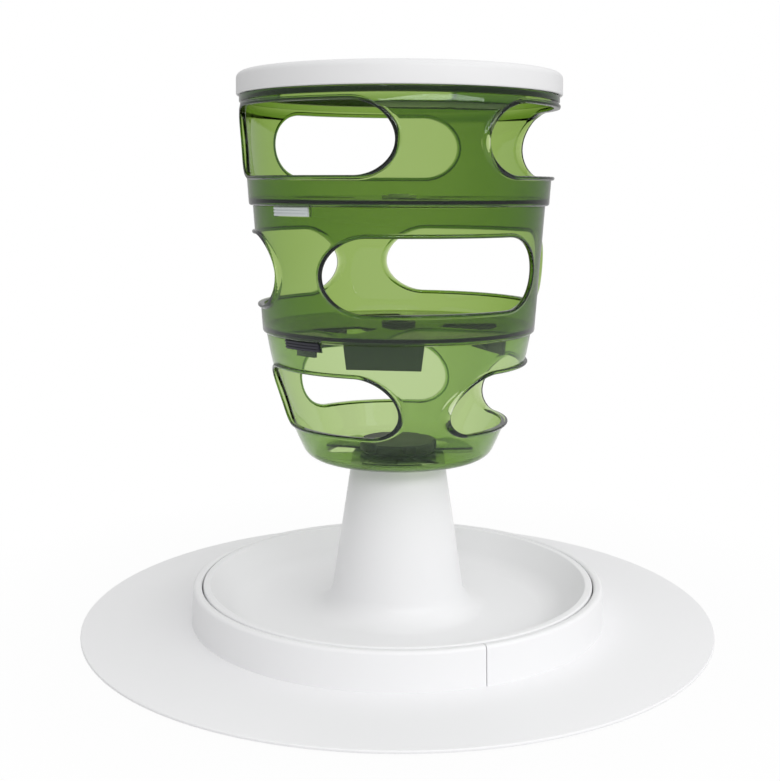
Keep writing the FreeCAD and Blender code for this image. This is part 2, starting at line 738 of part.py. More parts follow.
def make_bowl_tier():
    """Bottom tier: a bowl whose wall is an arc between two leans, over a rounded foot."""
    wall = size.sheet_wall
    foot_lean = size.bowl_lean_foot
    top_lean = size.bowl_lean_top
    ledge = middle_bottom - size.clearance
    corner = size.bowl_corner_radius
    slope = sine(top_lean) / cosine(top_lean)
    upper = (bowl_top_radius - size.bowl_straight * slope, ledge - size.bowl_straight)
    lower_height = bowl_bottom + corner * (as_size(1) - sine(foot_lean))
    sweep = (upper[1] - lower_height) / (sine(foot_lean) - sine(top_lean))
    centre = (upper[0] - sweep * cosine(top_lean), upper[1] + sweep * sine(top_lean))

    def on_wall(lean, depth):
        reach = sweep - depth
        return (centre[0] + reach * cosine(lean), centre[1] - reach * sine(lean))

    lower = on_wall(foot_lean, ZERO)
    inner_lower = on_wall(foot_lean, wall)
    inner_upper = on_wall(top_lean, wall)
    flat = lower[0] - corner * cosine(foot_lean)
    bore = size.spigot_radius + size.clearance
    top = (bowl_top_radius, ledge)
    steps = rim_steps(upper, top, middle_bottom, middle_foot_radius)
    inner_ledge = inner_upper[0] + (ledge - inner_upper[1]) * slope
    shell = new_body("bowl_shell")
    revolve(shell, [
        (bore, bowl_bottom),
        (flat, bowl_bottom, corner, 1),
        (*lower, sweep, 1),
        upper,
        *steps[:3],
        (inner_ledge, steps[2][1]),
        (inner_ledge, ledge),
        (*inner_upper, sweep - wall, -1),
        (*inner_lower, corner - wall, -1),
        (flat, bowl_floor),
        (bore, bowl_floor),
    ])
    root = size.bead_root
    reach = -size.bead_reach
    layer = new_body("bowl_layer")
    revolve(layer, [
        on_wall(foot_lean, root),
        (*on_wall(foot_lean, reach), sweep - reach, 1),
        on_wall(top_lean, reach),
        (*on_wall(top_lean, root), sweep - root, -1),
    ])
    window = (size.bowl_wide_window, size.bowl_window_width, size.bowl_window_height,
              bowl_bottom + size.bowl_window_centre)
    drops = (bowl_drop_outer, bowl_bottom, wall)
    pierced = pierce("bowl", size.stagger, shell, layer, window, drops)
    keep("tier_bottom", cut_notch("bowl", middle_bottom, pierced))
    return upper, top


def cone_shell(name, foot, head, rim):
    """Shell of an upper tier: a conical wall around a raised floor with a hole for the stem."""
    radius, bottom = foot
    under = bottom + size.skirt_depth
    floor = under + size.upper_floor_wall
    recess = radius - size.sheet_wall
    bore = size.stem_radius + size.stem_play
    inner = on_line(foot, head, floor) - size.sheet_wall
    shell = new_body(f"{name}_shell")
    revolve(shell, [
        (bore, under),
        (recess, under),
        (recess, bottom),
        foot,
        *rim,
        (inner, floor),
        (bore, floor),
    ])
    round_rim(shell, size.floor_rounding, inner, floor)
    round_rim(shell, size.foot_rounding, radius, bottom)
    return shell


def add_stops(name, tier, joint, drop_outer, forward, backward):
    """Pins under a tier's floor that meet the shutter's arm at the ends of the turn."""
    place = drop_outer + size.blade_overlap + size.band_width + size.pin_gap + size.pin_radius
    reach = size.arm_width / 2 + size.pin_radius + size.clearance
    contact = reach / place * (180 / math.pi)
    azimuths = {
        "forward": size.tab_azimuth - contact - forward,
        "backward": size.tab_azimuth + contact + backward,
    }
    for side, azimuth in azimuths.items():
        pin = new_body(f"{name}_{side}_pin", azimuth)
        top = joint + size.skirt_depth + size.upper_floor_wall / 2
        pillar(pin, size.pin_radius, joint, top, y=-place)
        tier = boolean("Fuse", f"{name}_{side}_stop", tier, pin)
    return tier


def make_middle_tier():
    """Middle tier: a cone, with a rim that carries the top tier."""
    foot = (middle_foot_radius, middle_bottom)
    head = (middle_top_radius, top_bottom)
    steps = rim_steps(foot, head, top_bottom, top_foot_radius)
    shell = cone_shell("middle", foot, head, steps)
    window = (size.middle_front_window, size.middle_window_width, size.middle_window_height,
              middle_bottom + size.middle_window_centre)
    layer = band_layer("middle", foot, head, window)
    drops = (middle_drop_outer, middle_bottom + size.skirt_depth, size.upper_floor_wall)
    pierced = pierce("middle", ZERO, shell, layer, window, drops)
    notched = cut_notch("middle", top_bottom, pierced)
    stopped = add_stops("middle", notched, middle_bottom, middle_drop_outer,
                        size.long_turn, size.short_turn)
    keep("tier_middle", stopped)
    return foot, head


def make_top_tier():
    """Top tier: a cone with a thick band round its rim, and a lip that the lid fits over."""
    foot = (top_foot_radius, top_bottom)
    head = (size.top_rim_radius, rim_top)
    band = rim_top - size.rim_band_height
    reach = size.rim_band_reach
    inner = size.top_rim_radius - size.sheet_wall
    lip_outer = lid_inside - size.clearance
    lip_top = lid_ceiling - size.clearance
    rim = [
        (on_line(foot, head, band), band),
        (on_line(foot, head, band) + reach, band),
        (size.top_rim_radius + reach, rim_top),
        (lip_outer, rim_top),
        (lip_outer, lip_top),
        (inner, lip_top),
        (inner, rim_top),
    ]
    shell = cone_shell("top", foot, head, rim)
    window = (size.top_wide_window, size.top_window_width, size.top_window_height,
              top_bottom + size.top_window_centre)
    layer = band_layer("top", foot, head, window)
    drops = (top_drop_outer, top_bottom + size.skirt_depth, size.upper_floor_wall)
    pierced = pierce("top", size.stagger, shell, layer, window, drops)
    stopped = add_stops("top", pierced, top_bottom, top_drop_outer,
                        size.short_turn, size.long_turn)
    keep("tier_top", stopped)


# Shutters: three blades round a hub, over or under a tier's drop holes

def blades(name, azimuth, bottom, outer):
    """Three blades round a hub. Gives the body and its blade."""
    body = new_body(name, azimuth)
    pillar(body, size.hub_radius, bottom, bottom + size.blade_thickness)
    sketch = new_sketch(body, "XY_Plane", bottom)
    outline(sketch, sector_path(size.stud_radius, outer, size.blade_half_angle))
    return body, pad(body, sketch, size.blade_thickness)


def make_bottom_shutter():
    """Shutter that lies on the bottom tier's floor, keyed to the trunk."""
    outer = bowl_drop_outer + size.blade_overlap
    body, blade = blades("low_blades", size.low_blade_azimuth, low_blade_bottom, outer)
    ring_pattern(body, [blade], size.window_count)
    bore = new_body("low_bore")
    sketch = new_sketch(bore, "XY_Plane", low_blade_bottom - OVERSHOOT)
    half = size.key_half_width + size.seat_gap
    outline(sketch, box_path(-half, half, -half, half))
    pad(bore, sketch, size.blade_thickness + 2 * OVERSHOOT)
    keep("shutter_bottom", boolean("Cut", "low_shutter", body, bore))


def add_band(body, inner, bottom):
    """Outer ring that joins the tips of the blades."""
    sketch = new_sketch(body, "XY_Plane", bottom)
    circle(sketch, inner, "inner")
    circle(sketch, inner + size.band_width, "outer")
    pad(body, sketch, size.blade_thickness)


def add_stem(body, bottom, floor):
    """Stem through the floor above, with a groove for the hub clip."""
    clip_bottom = floor + size.clearance
    clip_top = clip_bottom + size.clip_thickness
    waist = size.stem_radius - size.stem_groove
    pillar(body, size.stem_radius, bottom, clip_top + size.stem_head)
    groove(body, [
        (waist, clip_bottom),
        (size.stem_radius + OVERSHOOT, clip_bottom),
        (size.stem_radius + OVERSHOOT, clip_top),
        (waist, clip_top),
    ])


def add_plate(body, outer, bottom):
    """Hanging grip plate under a blade's tip, with a gusset behind it."""
    inner = outer - size.plate_thickness
    root = bottom + size.blade_thickness / 2
    foot = bottom - size.plate_drop
    half = size.plate_width / 2
    face = new_sketch(body, "XZ_Plane", inner)
    outline(face, [
        (-(half - size.plate_taper), foot),
        (half - size.plate_taper, foot),
        (half, root),
        (-half, root),
    ])
    plate = pad(body, face, size.plate_thickness)
    side = new_sketch(body, "YZ_Plane", -size.gusset_thickness / 2)
    back = -(inner + size.plate_thickness / 2)
    outline(side, [
        (back, foot),
        (-(inner - size.gusset_reach), root),
        (back, root),
    ])
    return [plate, pad(body, side, size.gusset_thickness)]


def ridged_face(skin, low, high):
    """Corners of a tab's outer face, from below, with level grip ridges."""
    pitch = (high - low) / size.ridge_count
    reach = size.tab_reach
    half = size.ridge_height / 2
    corners = [(skin(low) + reach, low)]
    for ridge in range(int(size.ridge_count.value)):
        middle = low + pitch * (ridge + 0.5)
        corners += [
            (skin(middle) + reach, middle - half),
            (skin(middle) + reach + size.ridge_reach, middle - half),
            (skin(middle) + reach + size.ridge_reach, middle + half),
            (skin(middle) + reach, middle + half),
        ]
    return corners + [(skin(high) + reach, high)]


def slice_of_ring(name, width, path):
    """Piece of a turned ring, cut to a width at the tab's place."""
    ring = new_body(f"{name}_ring")
    revolve(ring, path)
    heights = [as_size(corner[1]) for corner in path]
    low = min(heights, key=lambda height: height.value)
    high = max(heights, key=lambda height: height.value)
    prism = new_body(f"{name}_prism", size.tab_azimuth)
    sketch = new_sketch(prism, "XZ_Plane", size.drop_inner_radius)
    outline(sketch, box_path(-width / 2, width / 2, low - OVERSHOOT, high + OVERSHOOT))
    pad(prism, sketch, size.top_rim_radius)
    return boolean("Common", f"{name}_slice", ring, prism)


def make_tab(name, joint, lower, ring, band_outer, with_tongue):
    """Tab in the lower tier's notch, with the arm that joins it to the shutter's ring."""
    def skin(height):
        return on_line(*lower, height)

    low = joint - size.tab_drop
    ledge = joint - size.clearance
    blade_top = joint + size.skirt_depth - size.clearance
    inner = skin(ledge) + size.tab_reach - size.tab_depth
    face = ridged_face(skin, low, ledge)
    tab = slice_of_ring(f"{name}_tab", size.tab_width, [
        (inner, low),
        *face,
        (ring, ledge),
        (ring, blade_top),
        (inner, blade_top),
    ])
    arm = new_body(f"{name}_arm", size.tab_azimuth)
    sketch = new_sketch(arm, "XY_Plane", blade_top - size.blade_thickness)
    half = size.arm_width / 2
    outline(sketch, box_path(-half, half, -(inner + ring) / 2, -band_outer + size.band_width / 2))
    pad(arm, sketch, size.blade_thickness)
    tab = boolean("Fuse", f"{name}_arm_tab", tab, arm)
    if with_tongue:
        foot = low - size.tongue_drop
        back = skin(foot) - size.sheet_wall - size.clearance * 2
        middle = inner + size.tab_depth / 2
        tongue = slice_of_ring(f"{name}_tongue", size.tongue_width, [
            (back - size.tongue_depth, foot),
            (back, foot),
            (back, low),
            (middle, low),
            (middle, ledge),
            (back - size.tongue_depth, ledge),
        ])
        tab = boolean("Fuse", f"{name}_tongued", tab, tongue)
    return tab


def make_upper_shutter(name, joint, drop_outer, lower, ring, gripped):
    """Shutter that hangs under an upper tier's floor, keyed to the tier below by its tab."""
    bottom = joint + size.skirt_depth - size.clearance - size.blade_thickness
    floor = joint + size.skirt_depth + size.upper_floor_wall
    reach = drop_outer + size.blade_overlap
    body, blade = blades(f"{name}_blades", size.blade_azimuth, bottom,
                         reach + size.band_width / 2)
    repeated = [blade]
    if gripped:
        repeated += add_plate(body, reach, bottom)
    ring_pattern(body, repeated, size.window_count)
    add_band(body, reach, bottom)
    add_stem(body, bottom, floor)
    tab = make_tab(name, joint, lower, ring, reach + size.band_width, gripped)
    keep(f"shutter_{name}", boolean("Fuse", f"{name}_keyed", body, tab))
    make_hub_clip(name, floor)


def make_hub_clip(name, floor):
    """Washer that snaps on the stem above the floor."""
    bottom = floor + size.clearance
    inner = size.stem_radius - size.stem_groove + size.peg_play
    body = new_body(f"hub_clip_{name}")
    sketch = new_sketch(body, "XY_Plane", bottom)
    circle(sketch, inner, "inner")
    circle(sketch, size.clip_radius, "outer")
    pad(body, sketch, size.clip_thickness)
    keep(f"hub_clip_{name}", body)


# Lid: a shallow cap over the top tier's lip

def make_lid():
    """Cap over the top tier."""
    body = new_body("lid")
    revolve(body, [
        (ZERO, lid_ceiling),
        (lid_inside, lid_ceiling),
        (lid_inside, lid_bottom),
        (lid_radius, lid_bottom),
        (lid_radius, lid_top),
        (ZERO, lid_top),
    ])
    round_rim(body, size.lid_top_rounding, lid_radius, lid_top)
    round_rim(body, size.lid_foot_rounding, lid_radius, lid_bottom)
    keep("lid", body)


def write_parts():
    """Check every object of the document, then write each piece to its file."""
    for item in doc.Objects:
        if {"Invalid", "Error"} & set(item.State):
            raise RuntimeError(f"{item.Label} is {item.State}")
    for name, piece in nodes.items():
        if piece.Shape.isNull() or not piece.Shape.isValid():
            raise RuntimeError(f"{name} has no valid shape")
    for name, piece in nodes.items():
        piece.Shape.exportStep(f"parts/{name}.step")
        print(f"{name}: {len(piece.Shape.Solids)} solids, {piece.Shape.Volume:.0f} mm3")


make_placemat()
make_collar()
make_mat_feet()
make_dish()
make_dish_feet()
make_knob()
bowl_rim = make_bowl_tier()
make_bottom_shutter()
middle_rim = make_middle_tier()
make_top_tier()
middle_ring = middle_foot_radius - size.sheet_wall - size.clearance
top_ring = top_foot_radius - size.sheet_wall - size.clearance
make_upper_shutter("middle", middle_bottom, middle_drop_outer, bowl_rim, middle_ring, True)
make_upper_shutter("top", top_bottom, top_drop_outer, middle_rim, top_ring, False)
make_lid()
doc.recompute()
write_parts()
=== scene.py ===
import math
from collections import namedtuple

import bmesh
import bpy
from mathutils import Matrix, Vector


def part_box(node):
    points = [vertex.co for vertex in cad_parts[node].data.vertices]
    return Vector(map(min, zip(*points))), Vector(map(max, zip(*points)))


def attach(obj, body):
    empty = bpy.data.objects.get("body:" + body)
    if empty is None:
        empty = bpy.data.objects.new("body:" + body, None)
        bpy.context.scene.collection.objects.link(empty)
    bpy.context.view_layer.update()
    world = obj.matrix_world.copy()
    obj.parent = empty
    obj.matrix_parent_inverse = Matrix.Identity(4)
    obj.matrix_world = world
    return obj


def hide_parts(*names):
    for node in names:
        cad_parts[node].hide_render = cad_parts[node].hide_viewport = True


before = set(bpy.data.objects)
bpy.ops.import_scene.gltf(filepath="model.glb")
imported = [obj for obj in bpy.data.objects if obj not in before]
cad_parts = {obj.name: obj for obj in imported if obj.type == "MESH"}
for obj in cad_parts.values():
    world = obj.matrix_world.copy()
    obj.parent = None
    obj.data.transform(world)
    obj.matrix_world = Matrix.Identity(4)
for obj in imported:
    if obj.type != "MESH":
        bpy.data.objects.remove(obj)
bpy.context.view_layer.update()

# The tiers are modelled again here as closed shells with rounded windows, because light bends in
# them, and the white pieces with softer edges. Lengths are in millimetres as far as the section
# on shader nodes, and heights come from the frame where it has them. An azimuth is counted in
# degrees from the front (-Y), anticlockwise as seen from above.
MILLIMETRE = 0.001


def low(node):
    """Lowest height of a CAD node, in millimetres."""
    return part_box(node)[0].z / MILLIMETRE


def high(node):
    """Highest height of a CAD node, in millimetres."""
    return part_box(node)[1].z / MILLIMETRE


def reach(node):
    """Outer radius of a round CAD node, in millimetres."""
    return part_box(node)[1].x / MILLIMETRE


# Sizes that several pieces share
CLEARANCE = 0.3
SEAT_GAP = 0.2
WALL = 2.2
SKIRT = 1.8
SMALL_EDGE = 0.4
SMALL_FILLET = 0.3
BOTTOM_HEAD_RADIUS = 78.1
MIDDLE_FOOT_RADIUS = 80.1
MIDDLE_HEAD_RADIUS = 84.9
TOP_FOOT_RADIUS = 87.1
TOP_HEAD_RADIUS = 91
SPIGOT_RADIUS = 18
LID_WALL = 2.4
LID_RADIUS = reach("lid")
BOWL_BOTTOM = low("tier_bottom")
MIDDLE_BOTTOM = low("tier_middle")
TOP_BOTTOM = low("tier_top")
RIM_TOP = low("lid") - SEAT_GAP
SHOULDER = BOWL_BOTTOM - SEAT_GAP

# Meshes are fine enough for the tiers' curves to show no facets
SECTOR_STEPS = 90
SIDE_STEPS = 60
FILL_STEPS = 9
FILL_GROWTH = 1.4
TURN_STEPS = 256
EDGE_STEPS = 5
ARC_STEPS = 8
SECTORS = 3
SECTOR = 360 / SECTORS


# Points and outlines

def polar(radius, azimuth, height):
    """A point from its radius, azimuth and height."""
    turn = math.radians(azimuth)
    return (radius * math.sin(turn), -radius * math.cos(turn), height)


def arc(centre, radius, start, finish, steps):
    """Points of an arc, from one angle to another in degrees."""
    angles = [math.radians(start + (finish - start) * step / steps) for step in range(steps + 1)]
    return [(centre[0] + radius * math.cos(a), centre[1] + radius * math.sin(a)) for a in angles]


def rounded_path(corners, steps):
    """Round a closed path's corners. A corner is (x, y, rounding) with an optional name.

    Gives the points, and the index of each named corner's last point.
    """
    points = []
    names = {}
    for index, corner in enumerate(corners):
        rounding = corner[2]
        here = Vector(corner[:2])
        before = (Vector(corners[index - 1][:2]) - here).normalized()
        after = (Vector(corners[(index + 1) % len(corners)][:2]) - here).normalized()
        if rounding > 0:
            half = before.angle(after) / 2
            tangent = rounding / math.tan(half)
            centre = here + (before + after).normalized() * (rounding / math.sin(half))
            start = here + before * tangent - centre
            finish = here + after * tangent - centre
            for step in range(steps + 1):
                spoke = start.slerp(finish, step / steps)
                points.append(tuple(centre + spoke * rounding))
        else:
            points.append(tuple(here))
        if len(corner) > 3:
            names[corner[3]] = len(points) - 1
    return points, names


def between(start, finish, share):
    """The point at a share of the way from one point to another."""
    return tuple(here + (there - here) * share for here, there in zip(start, finish))


def resampled(points, count):
    """Points at equal steps along a path, without its last point."""
    lengths = [0]
    for here, after in zip(points, points[1:]):
        lengths.append(lengths[-1] + math.dist(here, after))
    result = []
    piece = 0
    for step in range(count):
        goal = lengths[-1] * step / count
        while lengths[piece + 1] < goal:
            piece += 1
        share = (goal - lengths[piece]) / (lengths[piece + 1] - lengths[piece])
        result.append(between(points[piece], points[piece + 1], share))
    return result


def rounded_outline(corners, radius, grow):
    """Outline round four corner centres, from the upper left clockwise, grown by a distance.

    It starts halfway round the upper left corner, as the border of its sector does.
    """
    outline = []
    counts = (SECTOR_STEPS, SIDE_STEPS, SECTOR_STEPS, SIDE_STEPS)
    for side, count in enumerate(counts):
        angle = 90 - 90 * side
        here = corners[side]
        after = corners[(side + 1) % len(corners)]
        leaving = arc(here, radius + grow, angle + 45, angle, ARC_STEPS)
        arriving = arc(after, radius + grow, angle, angle - 45, ARC_STEPS)
        outline += resampled(leaving + arriving, count)
    return outline


def slot_outline(width, height, middle, grow):
    """A window's outline with round ends, as (sideways, height) points."""
    radius = height / 2
    straight = width / 2 - radius
    corners = [(sign * straight, middle) for sign in (-1, 1, 1, -1)]
    return rounded_outline(corners, radius, grow)


DROP_INNER = 27
DROP_HALF_ANGLE = 18
DROP_ROUNDING = 3


def drop_outline(outer, grow):
    """A drop hole's outline, a rounded sector of a ring, as (azimuth, radius) points."""
    turn = math.radians(DROP_HALF_ANGLE)
    far = outer - DROP_ROUNDING
    near = DROP_INNER + DROP_ROUNDING
    corners = [(sign * (turn * radius - DROP_ROUNDING), radius)
               for sign, radius in ((-1, far), (1, far), (1, near), (-1, near))]
    outline = rounded_outline(corners, DROP_ROUNDING, grow)
    return [(math.degrees(along / radius), radius) for along, radius in outline]


# Azimuths of a tier's points

AZIMUTH_SLACK = 0.5


def even_azimuths(count, start=0):
    """Azimuths at equal steps round the axis."""
    return [start + 360 * step / count for step in range(count)]


def nearest(azimuths, wanted):
    """Number of the azimuth that is nearest to a wanted one."""
    return min(range(len(azimuths)), key=lambda i: abs((azimuths[i] - wanted + 180) % 360 - 180))


def ahead(azimuth, start):
    """How far an azimuth lies anticlockwise of a start. It is below 0 in the slack before it."""
    return (azimuth - start + AZIMUTH_SLACK) % 360 - AZIMUTH_SLACK


def tier_azimuths(start, snapped):
    """Azimuths round a tier, with the nearest ones moved to the snapped ones."""
    azimuths = even_azimuths(SECTOR_STEPS * SECTORS, start)
    for wanted in snapped:
        azimuths[nearest(azimuths, wanted)] = wanted % 360
    return azimuths


def sector_azimuths(azimuths, start):
    """The azimuths of one sector, both ends included, from a start among them."""
    first = nearest(azimuths, start)
    picked = [azimuths[(first + step) % len(azimuths)] for step in range(SECTOR_STEPS + 1)]
    return [start + ahead(azimuth, start) for azimuth in picked]


def sector_border(azimuths, start, bottom, top):
    """Points round a sector, clockwise from its upper left corner, as (azimuth, level)."""
    edges = sector_azimuths(azimuths, start)
    levels = [top + (bottom - top) * step / SIDE_STEPS for step in range(SIDE_STEPS + 1)]
    upper = [(azimuth, top) for azimuth in edges]
    right = [(edges[-1], level) for level in levels]
    lower = [(azimuth, bottom) for azimuth in reversed(edges)]
    left = [(edges[0], level) for level in reversed(levels)]
    return upper[:-1] + right[:-1] + lower[:-1] + left[:-1]


# Meshes

WELD_DISTANCE = 0.002
TIER_SHARP = 35
TURNED_SHARP = 50


class Shell:
    """Gathers rows of points in millimetres, and the faces between them."""

    def __init__(self):
        self.points = []
        self.faces = []

    def row(self, points):
        """Add a row of points. Gives their numbers."""
        first = len(self.points)
        self.points += points
        return list(range(first, len(self.points)))

    def sweep(self, path, azimuths):
        """Add rows round the axis, one for each (radius, height) of a path."""
        return [self.row([polar(r, azimuth, z) for azimuth in azimuths]) for r, z in path]

    def strip(self, lower, upper, skip=()):
        """Faces between two closed rows, apart from the skipped segments."""
        count = len(lower)
        for here in range(count):
            after = (here + 1) % count
            if here not in skip:
                self.faces.append((lower[here], lower[after], upper[after], upper[here]))

    def close(self, rows, skip=()):
        """Faces between rows that follow each other, and from the last one to the first."""
        for index, row in enumerate(rows):
            self.strip(row, rows[(index + 1) % len(rows)], skip)

    def piece(self, name, body, material, slot, replaced, sharp):
        """Make the mesh object, hang it on its body, and hide the CAD nodes that it replaces."""
        mesh = bpy.data.meshes.new(name)
        work = bmesh.new()
        corners = [work.verts.new(Vector(point) * MILLIMETRE) for point in self.points]
        for face in self.faces:
            if len({self.points[corner] for corner in face}) > 2:
                work.faces.new([corners[corner] for corner in face])
        bmesh.ops.remove_doubles(work, verts=work.verts, dist=WELD_DISTANCE * MILLIMETRE)
        bmesh.ops.recalc_face_normals(work, faces=work.faces)
        work.to_mesh(mesh)
        work.free()
        mesh.shade_smooth()
        mesh.set_sharp_from_angle(angle=math.radians(sharp))
        mesh.materials.append(material)
        piece = bpy.data.objects.new(name, mesh)
        bpy.context.scene.collection.objects.link(piece)
        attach(piece, body)
        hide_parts(*replaced)


def fill_sector(shell, outline, border, place):
    """Rings of faces between an opening's outline and the border of its sector."""
    rows = []
    for ring in range(FILL_STEPS + 1):
        share = (ring / FILL_STEPS) ** FILL_GROWTH
        pairs = zip(outline, border)
        rows.append(shell.row([place(*between(start, finish, share)) for start, finish in pairs]))
    for inner, outer in zip(rows, rows[1:]):
        shell.strip(inner, outer)


# Walls of the tiers. A layer is counted from the outer face outwards, so it is -WALL inside.

class ConeWall:
    """A conical wall, by its outer radius at two heights."""

    def __init__(self, foot_radius, foot, head_radius, head):
        self.foot_radius = foot_radius
        self.foot = foot
        self.slope = (head_radius - foot_radius) / (head - foot)

    def radius(self, height, layer=0):
        """Radius of a layer at a height."""
        return self.foot_radius + (height - self.foot) * self.slope + layer


class RimWall(ConeWall):
    """A conical wall with a thick band under its head, and a flared ring under the band."""

    BAND_HEIGHT = 3.5
    BAND_REACH = 0.8
    RING_START = 0.2
    RING_REACH = 1.45
    RING_HEIGHT = 5.0
    RING_BULGE = 0.15
    RING_ROUNDING = 2.4

    def __init__(self, foot_radius, foot, head_radius, head):
        super().__init__(foot_radius, foot, head_radius, head)
        self.band_bottom = head - self.BAND_HEIGHT

    def swell(self, height):
        """How far the ring's outer face stands out of the cone at a height."""
        depth = self.band_bottom - height
        if depth < self.RING_HEIGHT:
            share = depth / self.RING_HEIGHT
            rise = share * (1 + self.RING_BULGE * (1 - share))
            return self.RING_START + (self.RING_REACH - self.RING_START) * rise
        fall = min((depth - self.RING_HEIGHT) / self.RING_ROUNDING, 1)
        return self.RING_REACH * (1 + math.cos(math.pi * fall)) / 2

    def radius(self, height, layer=0):
        """Radius of a layer at a height. The ring fades to the inner face and a bead's crown."""
        share = 1 + layer / WALL if layer < 0 else max(1 - layer / BEAD_REACH, 0)
        return super().radius(height, layer) + self.swell(height) * share


class BowlWall:
    """A wall that bends from one lean to another in an arc, with a straight stretch on top.

    Below, a rounded corner joins it to a bottom that is flat as far as the radius flat.
    """

    FOOT_LEAN = math.radians(25)
    TOP_LEAN = math.radians(10)
    CORNER = 11
    STRAIGHT = 6.5

    def __init__(self, bottom, head_radius, head):
        self.slope = math.tan(self.TOP_LEAN)
        upper = head - self.STRAIGHT
        lower = bottom + self.CORNER * (1 - math.sin(self.FOOT_LEAN))
        self.sweep = (upper - lower) / (math.sin(self.FOOT_LEAN) - math.sin(self.TOP_LEAN))
        centre_radius = head_radius - self.STRAIGHT * self.slope
        centre_radius -= self.sweep * math.cos(self.TOP_LEAN)
        self.centre = (centre_radius, upper + self.sweep * math.sin(self.TOP_LEAN))
        foot_radius = self.point(self.FOOT_LEAN, 0)[0]
        self.flat = foot_radius - self.CORNER * math.cos(self.FOOT_LEAN)
        self.corner_centre = (self.flat, bottom + self.CORNER)

    def point(self, lean, layer):
        """The point of a layer where the wall has a lean."""
        spoke = self.sweep + layer
        return (self.centre[0] + spoke * math.cos(lean), self.centre[1] - spoke * math.sin(lean))

    def radius(self, height, layer=0):
        """Radius of a layer at a height, on the arc or on the straight stretch above it."""
        spoke = self.sweep + layer
        top = self.point(self.TOP_LEAN, layer)
        if height > top[1]:
            return top[0] + (height - top[1]) * self.slope
        return self.centre[0] + math.sqrt(spoke ** 2 - (self.centre[1] - height) ** 2)

    def corner(self, layer):
        """Points of a layer's rounded corner, from the wall to the flat bottom."""
        lean = math.degrees(self.FOOT_LEAN)
        return arc(self.corner_centre, self.CORNER + layer, -lean, -90, ARC_STEPS)


def on_layer(wall, layer):
    """A function that places a point of an azimuth and a height on a wall's layer."""
    return lambda azimuth, height: polar(wall.radius(height, layer), azimuth, height)


def on_plane(height):
    """A function that places a point of an azimuth and a radius at a height."""
    return lambda azimuth, radius: polar(radius, azimuth, height)


# Openings of the tiers

# The first window stands at the azimuth and has its own width. The middle is a height.
Window = namedtuple("Window", "azimuth first_width other_width height middle")

# Openings lie in the wall from the height start to the height top. They lie in the floor between
# its lower face, under, and its upper face, floor, as far as the radius edge.
Levels = namedtuple("Levels", "start top under floor edge")

# Cross-section of a window's rim
INNER_ROUNDING = 0.7
INNER_STEPS = 4
BEAD_WIDTH = 2.1
BEAD_REACH = 1.7
BEAD_ROUNDING = 1.0
BEAD_STEPS = 6
BEAD_FOOT = 0.3
BEAD_FOOT_STEPS = 3


def rim_section():
    """The rim's cross-section from the inner face to the outer face.

    A point is (distance from the window's outline, height over the inner face).
    """
    crown = WALL + BEAD_REACH - BEAD_ROUNDING
    far_side = BEAD_WIDTH - BEAD_ROUNDING
    foot = (BEAD_WIDTH + BEAD_FOOT, WALL + BEAD_FOOT)
    points = arc((INNER_ROUNDING, INNER_ROUNDING), INNER_ROUNDING, 270, 180, INNER_STEPS)
    points += arc((BEAD_ROUNDING, crown), BEAD_ROUNDING, 180, 90, BEAD_STEPS)
    points += arc((far_side, crown), BEAD_ROUNDING, 90, 0, BEAD_STEPS)[1:]
    points += arc(foot, BEAD_FOOT, 180, 270, BEAD_FOOT_STEPS)
    return points


def add_windows(shell, wall, window, azimuths, levels):
    """Both faces of a wall, with a window and its rim in each sector."""
    for sector in range(SECTORS):
        width = window.other_width if sector else window.first_width
        turn = window.azimuth + SECTOR * sector
        border = sector_border(azimuths, turn - SECTOR / 2, levels.start, levels.top)
        outlines = []
        rim = []
        for grow, lift in rim_section():
            layer = lift - WALL
            outline = []
            for sideways, height in slot_outline(width, window.height, window.middle, grow):
                angle = math.asin(sideways / wall.radius(height, layer))
                outline.append((turn + math.degrees(angle), height))
            place = on_layer(wall, layer)
            outlines.append(outline)
            rim.append(shell.row([place(azimuth, height) for azimuth, height in outline]))
        for inner, outer in zip(rim, rim[1:]):
            shell.strip(inner, outer)
        fill_sector(shell, outlines[0], border, on_layer(wall, -WALL))
        fill_sector(shell, outlines[-1], border, on_layer(wall, 0))


DROP_EDGE = 0.4
DROP_EDGE_STEPS = 3
FLOOR_INNER = 22


def add_drops(shell, drop_outer, centre_azimuth, azimuths, levels):
    """Both faces of a floor, with a drop hole in each sector."""
    under, floor = levels.under, levels.floor
    section = arc((DROP_EDGE, under + DROP_EDGE), DROP_EDGE, 270, 180, DROP_EDGE_STEPS)
    section += arc((DROP_EDGE, floor - DROP_EDGE), DROP_EDGE, 180, 90, DROP_EDGE_STEPS)
    for sector in range(SECTORS):
        turn = centre_azimuth + SECTOR * sector
        border = sector_border(azimuths, turn - SECTOR / 2, FLOOR_INNER, levels.edge)
        rim = []
        for grow, height in section:
            outline = drop_outline(drop_outer, grow)
            rim.append(shell.row([polar(r, turn + a, height) for a, r in outline]))
        for lower, upper in zip(rim, rim[1:]):
            shell.strip(lower, upper)
        outline = [(turn + a, r) for a, r in drop_outline(drop_outer, DROP_EDGE)]
        for height in (under, floor):
            fill_sector(shell, outline, border, on_plane(height))


TAB_AZIMUTH = -60.5
NOTCH_WIDTH = 27.6
NOTCH_DEPTH = 5.5


def notch_edges(radius):
    """Azimuths of the sides of the notch for a shutter's tab, which has its width at a radius."""
    half = math.degrees(math.asin(NOTCH_WIDTH / 2 / radius))
    return TAB_AZIMUTH - half, TAB_AZIMUTH + half


